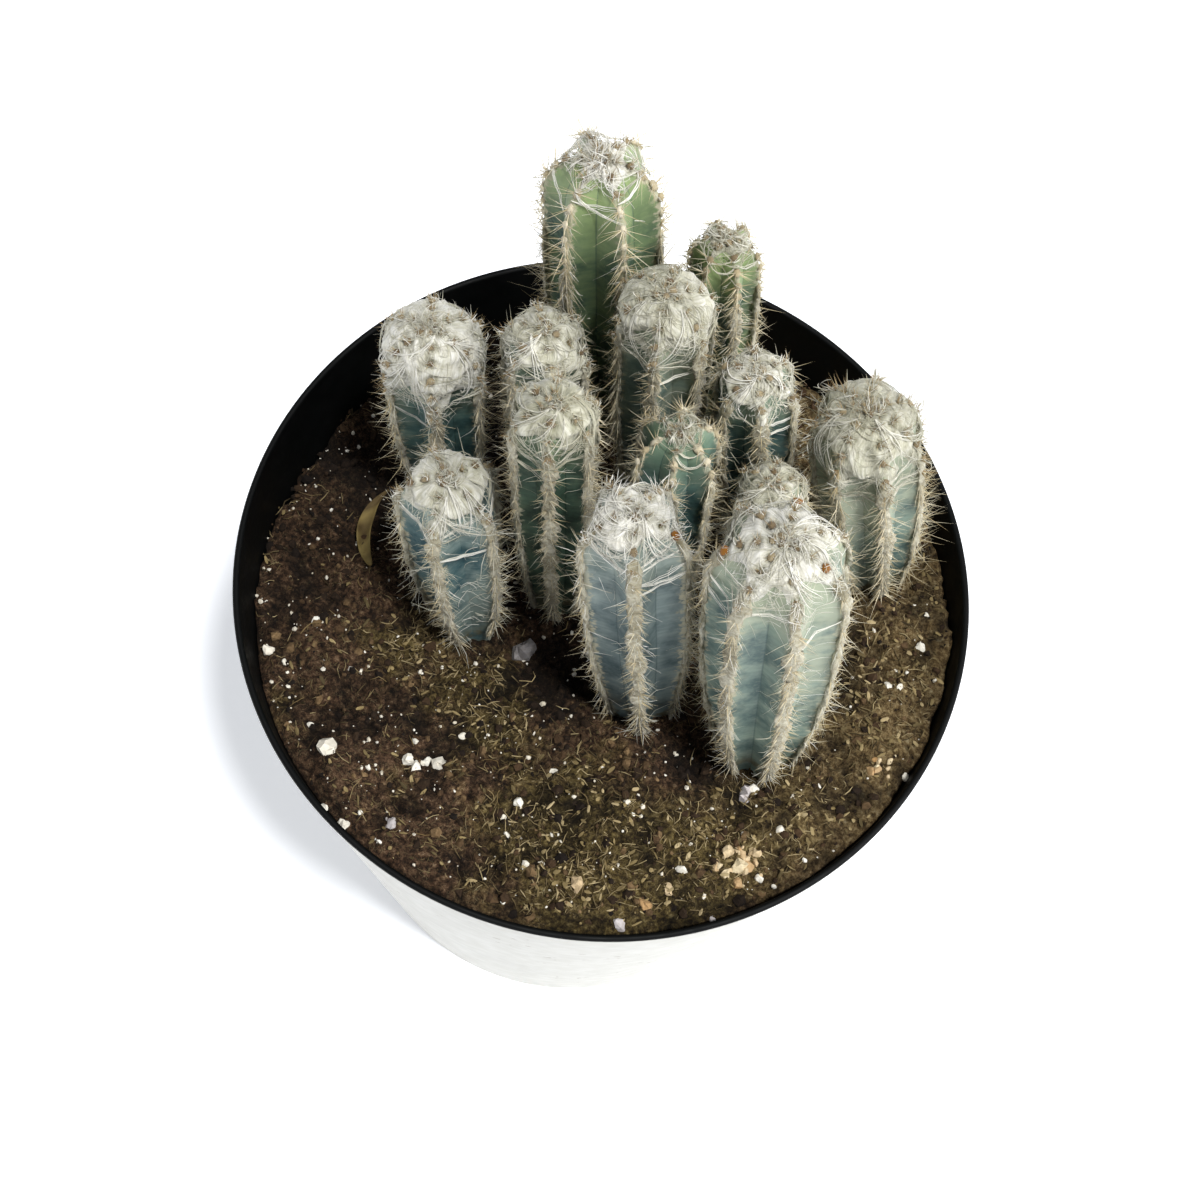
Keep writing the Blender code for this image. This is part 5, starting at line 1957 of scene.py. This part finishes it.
def torch_stems() -> list[TorchStem]:
    """List the stems with their forms, tones, and how their wool lies and their spines grow.

    Returns:
        The thirteen stems, from the back to the front.
    """
    return [
        TorchStem("stem_tall_back", (-0.007, 0.044), (-0.013, 0.0385, 0.23), 0.0108, 6, 30, GREEN, 1,
                  cap_mm=7, wool=0.9, garlands=9, tuft_mm=5.0, spine_mm=8.0, whiteness=1.0, felted=0.72,
                  streaks=5, hazes=(WoolHaze(-60, 0.45, 60, 0.1, 0.15),)),
        TorchStem("stem_slim_back", (0.0173, 0.044), (0.0108, 0.0385, 0.212), 0.0065, 6, 30, GREEN, 2,
                  cap_mm=5, wool=0.7, garlands=4, tuft_mm=2.5, spine_mm=5.5, whiteness=0.7, felted=0.8,
                  hazes=(WoolHaze(-10, 0.7, 30, 0.25, 0.4),)),
        TorchStem("stem_centre_back", (0.0075, 0.0235), (0.002, 0.0225, 0.217), 0.0088, 6, -5, SAGE, 3,
                  cap_mm=17, garlands=7, whiteness=0.7,
                  hazes=(WoolHaze(-60, 0.66, 40, 0.14, 0.5),)),
        TorchStem("stem_left_back", (-0.037, 0.022), (-0.0395, 0.019, 0.1955), 0.0098, 6, 10, TEAL, 4,
                  cap_mm=22, wool=1.15, garlands=6, spine_mm=6.0, whiteness=0.88, amber=0.1, streaks=7,
                  hazes=(WoolHaze(190, 0.55, 40, 0.2, 0.5),)),
        TorchStem("stem_left_inner", (-0.015, 0.02), (-0.0185, 0.018, 0.204), 0.0079, 6, 20, TEAL, 5,
                  cap_mm=13, wool=1.1, garlands=6, whiteness=0.75, hazes=(WoolHaze(-40, 0.6, 60, 0.2, 0.5),)),
        TorchStem("stem_left_mid", (-0.0093, -0.002), (-0.014, -0.002, 0.2155), 0.0079, 6, 3, DARK, 6,
                  cap_mm=12, wool=1.2, garlands=8, whiteness=0.62, hazes=(WoolHaze(-40, 0.84, 60, 0.05, 0.4),)),
        TorchStem("stem_left_front", (-0.0265, -0.01), (-0.0315, -0.008, 0.1905), 0.0097, 5, -8, MARINE, 7,
                  cap_mm=13, wool=0.95, garlands=9, whiteness=0.82, shag=1.6,
                  hazes=(WoolHaze(-45, 0.28, 42, 0.24, 1.1), WoolHaze(-60, 0.76, 50, 0.08, 0.5))),
        TorchStem("stem_centre_small", (0.012, 0.003), (0.0085, 0.004, 0.202), 0.008, 6, 0, TEAL, 8,
                  cap_mm=4, wool=0.5, garlands=4, spine_mm=4.5, whiteness=0.6, felted=0.82,
                  hazes=(WoolHaze(-50, 0.8, 60, 0.1, 0.35),)),
        TorchStem("stem_right_inner", (0.028, 0.02), (0.0205, 0.017, 0.204), 0.0077, 6, 15, TEAL, 9,
                  cap_mm=10, garlands=7, whiteness=0.85, hazes=(WoolHaze(-70, 0.84, 60, 0.05, 0.4),)),
        TorchStem("stem_right", (0.054, 0.016), (0.042, 0.018, 0.196), 0.0107, 7, 24, SAGE, 10,
                  cap_mm=19, wool=1.1, garlands=10, tuft_mm=3.0, spine_mm=7.5, whiteness=0.68, streaks=5,
                  shag=1.2, hazes=(WoolHaze(215, 0.6, 50, 0.35, 1.1), WoolHaze(-70, 0.62, 45, 0.16, 0.7))),
        TorchStem("stem_right_small", (0.034, 0.001), (0.027, 0.003, 0.19), 0.0068, 6, 0, SAGE, 11,
                  cap_mm=9, garlands=6, whiteness=0.7, hazes=(WoolHaze(-60, 0.7, 70, 0.2, 0.5),)),
        TorchStem("stem_front_centre", (0.0115, -0.0235), (0.003, -0.019, 0.214), 0.0101, 5, 7, BLUE, 12,
                  cap_mm=11, wool=1.2, garlands=12, tuft_mm=3.0, whiteness=1.0, amber=0.1, streaks=6, shag=1.3,
                  hazes=(WoolHaze(-90, 0.82, 70, 0.06, 0.6), WoolHaze(-130, 0.7, 30, 0.08, 0.3))),
        TorchStem("stem_front_right", (0.0355, -0.028), (0.028, -0.0245, 0.225), 0.0126, 7, 20, SAGE, 13,
                  cap_mm=14, garlands=9, whiteness=0.93, amber=0.35, shag=1.1,
                  hazes=(WoolHaze(-45, 0.6, 26, 0.26, 0.75), WoolHaze(-90, 0.84, 70, 0.06, 0.45))),
    ]


# Camera, floor and light

@dataclass(frozen=True)
class CaptureView:
    """Camera at the photograph's angle, fitted to the pot's rim. Lengths in metres, angles in degrees."""

    focal_px: float = 2200.0
    frame_px: float = 1200.0
    sensor_mm: float = 36.0
    pitch: float = 67.4
    roll: float = 10.1
    distance: float = 0.4472
    aim: tuple[float, float] = (-0.00098, -0.00444)

    def place(self) -> Object:
        """Set up the scene's camera.

        Returns:
            The camera.
        """
        pitch, roll = math.radians(self.pitch), math.radians(self.roll)
        back = Vector((0, -math.cos(pitch), math.sin(pitch)))
        right, up = Vector((1, 0, 0)), back.cross(Vector((1, 0, 0)))
        rolled_right = math.cos(roll) * right + math.sin(roll) * up
        rolled_up = math.cos(roll) * up - math.sin(roll) * right
        data = bpy.data.cameras.new("capture_camera")
        data.sensor_width = self.sensor_mm
        data.lens = self.focal_px / self.frame_px * self.sensor_mm
        data.clip_start, data.clip_end = 0.01, 10.0
        camera = bpy.data.objects.new("capture_camera", data)
        bpy.context.scene.collection.objects.link(camera)
        turn = Matrix((rolled_right, rolled_up, back)).transposed()
        aimed = Vector((0, 0, POT.height)) + self.aim[0] * rolled_right + self.aim[1] * rolled_up
        spot = aimed + self.distance * back
        camera.matrix_world = Matrix.Translation(spot) @ turn.to_4x4()
        bpy.context.scene.camera = camera
        return camera


@dataclass(frozen=True)
class Lamp:
    """A far lamp: strength, spread in degrees and where it stands."""

    name: str
    strength: float
    spread: float
    stands: tuple[float, float, float]

    def place(self) -> Object:
        """Set up the lamp.

        Returns:
            The lamp.
        """
        data = bpy.data.lights.new(self.name, "SUN")
        data.energy = self.strength
        data.angle = math.radians(self.spread)
        lamp = bpy.data.objects.new(self.name, data)
        lamp.rotation_mode = "QUATERNION"
        lamp.rotation_quaternion = Vector(self.stands).to_track_quat("Z", "Y")
        bpy.context.scene.collection.objects.link(lamp)
        return lamp


@dataclass(frozen=True)
class Studio:
    """White floor under an even sky light, a high soft key and a broad side light from the right front."""

    floor_size: float = 6.0
    floor_colour: str = "#f6f8fb"
    floor_patches: str = "#eef1f4"
    patch_mm: float = 40.0
    floor_roughness: float = 0.9
    sky_colour: str = "#f2f6ff"
    sky_strength: float = 0.31
    floor_glow: float = 0.42
    lamps: tuple[Lamp, ...] = (
        Lamp("key", 2.8, 6.0, (0.21, -0.22, 1.0)),
        Lamp("side", 2.1, 35.0, (1.0, -0.25, 0.6)),
    )

    def build(self) -> None:
        """Lay the floor and set the lights."""
        half = self.floor_size / 2
        corners = np.array([(-half, -half, 0), (half, -half, 0), (half, half, 0), (-half, half, 0)])
        floor = object_from_arrays("floor", corners, faces=np.array([[0, 1, 2, 3]]))
        made, tree, shader = blank_material("white_paper_floor", {
            "Roughness": self.floor_roughness, "Emission Color": linear(self.floor_colour),
            "Emission Strength": self.floor_glow})
        patches = stretch(tree, noise_pattern(tree, self.patch_mm), 0.4, 0.6, 0.0, 0.15)
        tone = blend_colours(tree, patches, linear(self.floor_colour), linear(self.floor_patches))
        tree.links.new(tone, shader.inputs["Base Color"])
        floor.data.materials.append(made)
        world = bpy.data.worlds.new("sky")
        world.use_nodes = True
        backdrop = world.node_tree.nodes["Background"]
        backdrop.inputs["Color"].default_value = linear(self.sky_colour)
        backdrop.inputs["Strength"].default_value = self.sky_strength
        bpy.context.scene.world = world
        for lamp in self.lamps:
            lamp.place()
        bpy.context.scene.view_settings.view_transform = "Standard"


def main() -> None:
    """Build the pot, soil, leaf, stems and studio."""
    logging.basicConfig(level=logging.INFO, format="%(name)s %(message)s")
    POT.build()
    SOIL.build()
    SOIL.build_crumbs()
    SOIL.build_flakes()
    SOIL.build_fibres()
    SOIL.build_grains()
    DryLeaf().build()
    for stem in torch_stems():
        stem.build()
    Studio().build()
    CaptureView().place()


if __name__ == "__main__":
    main()
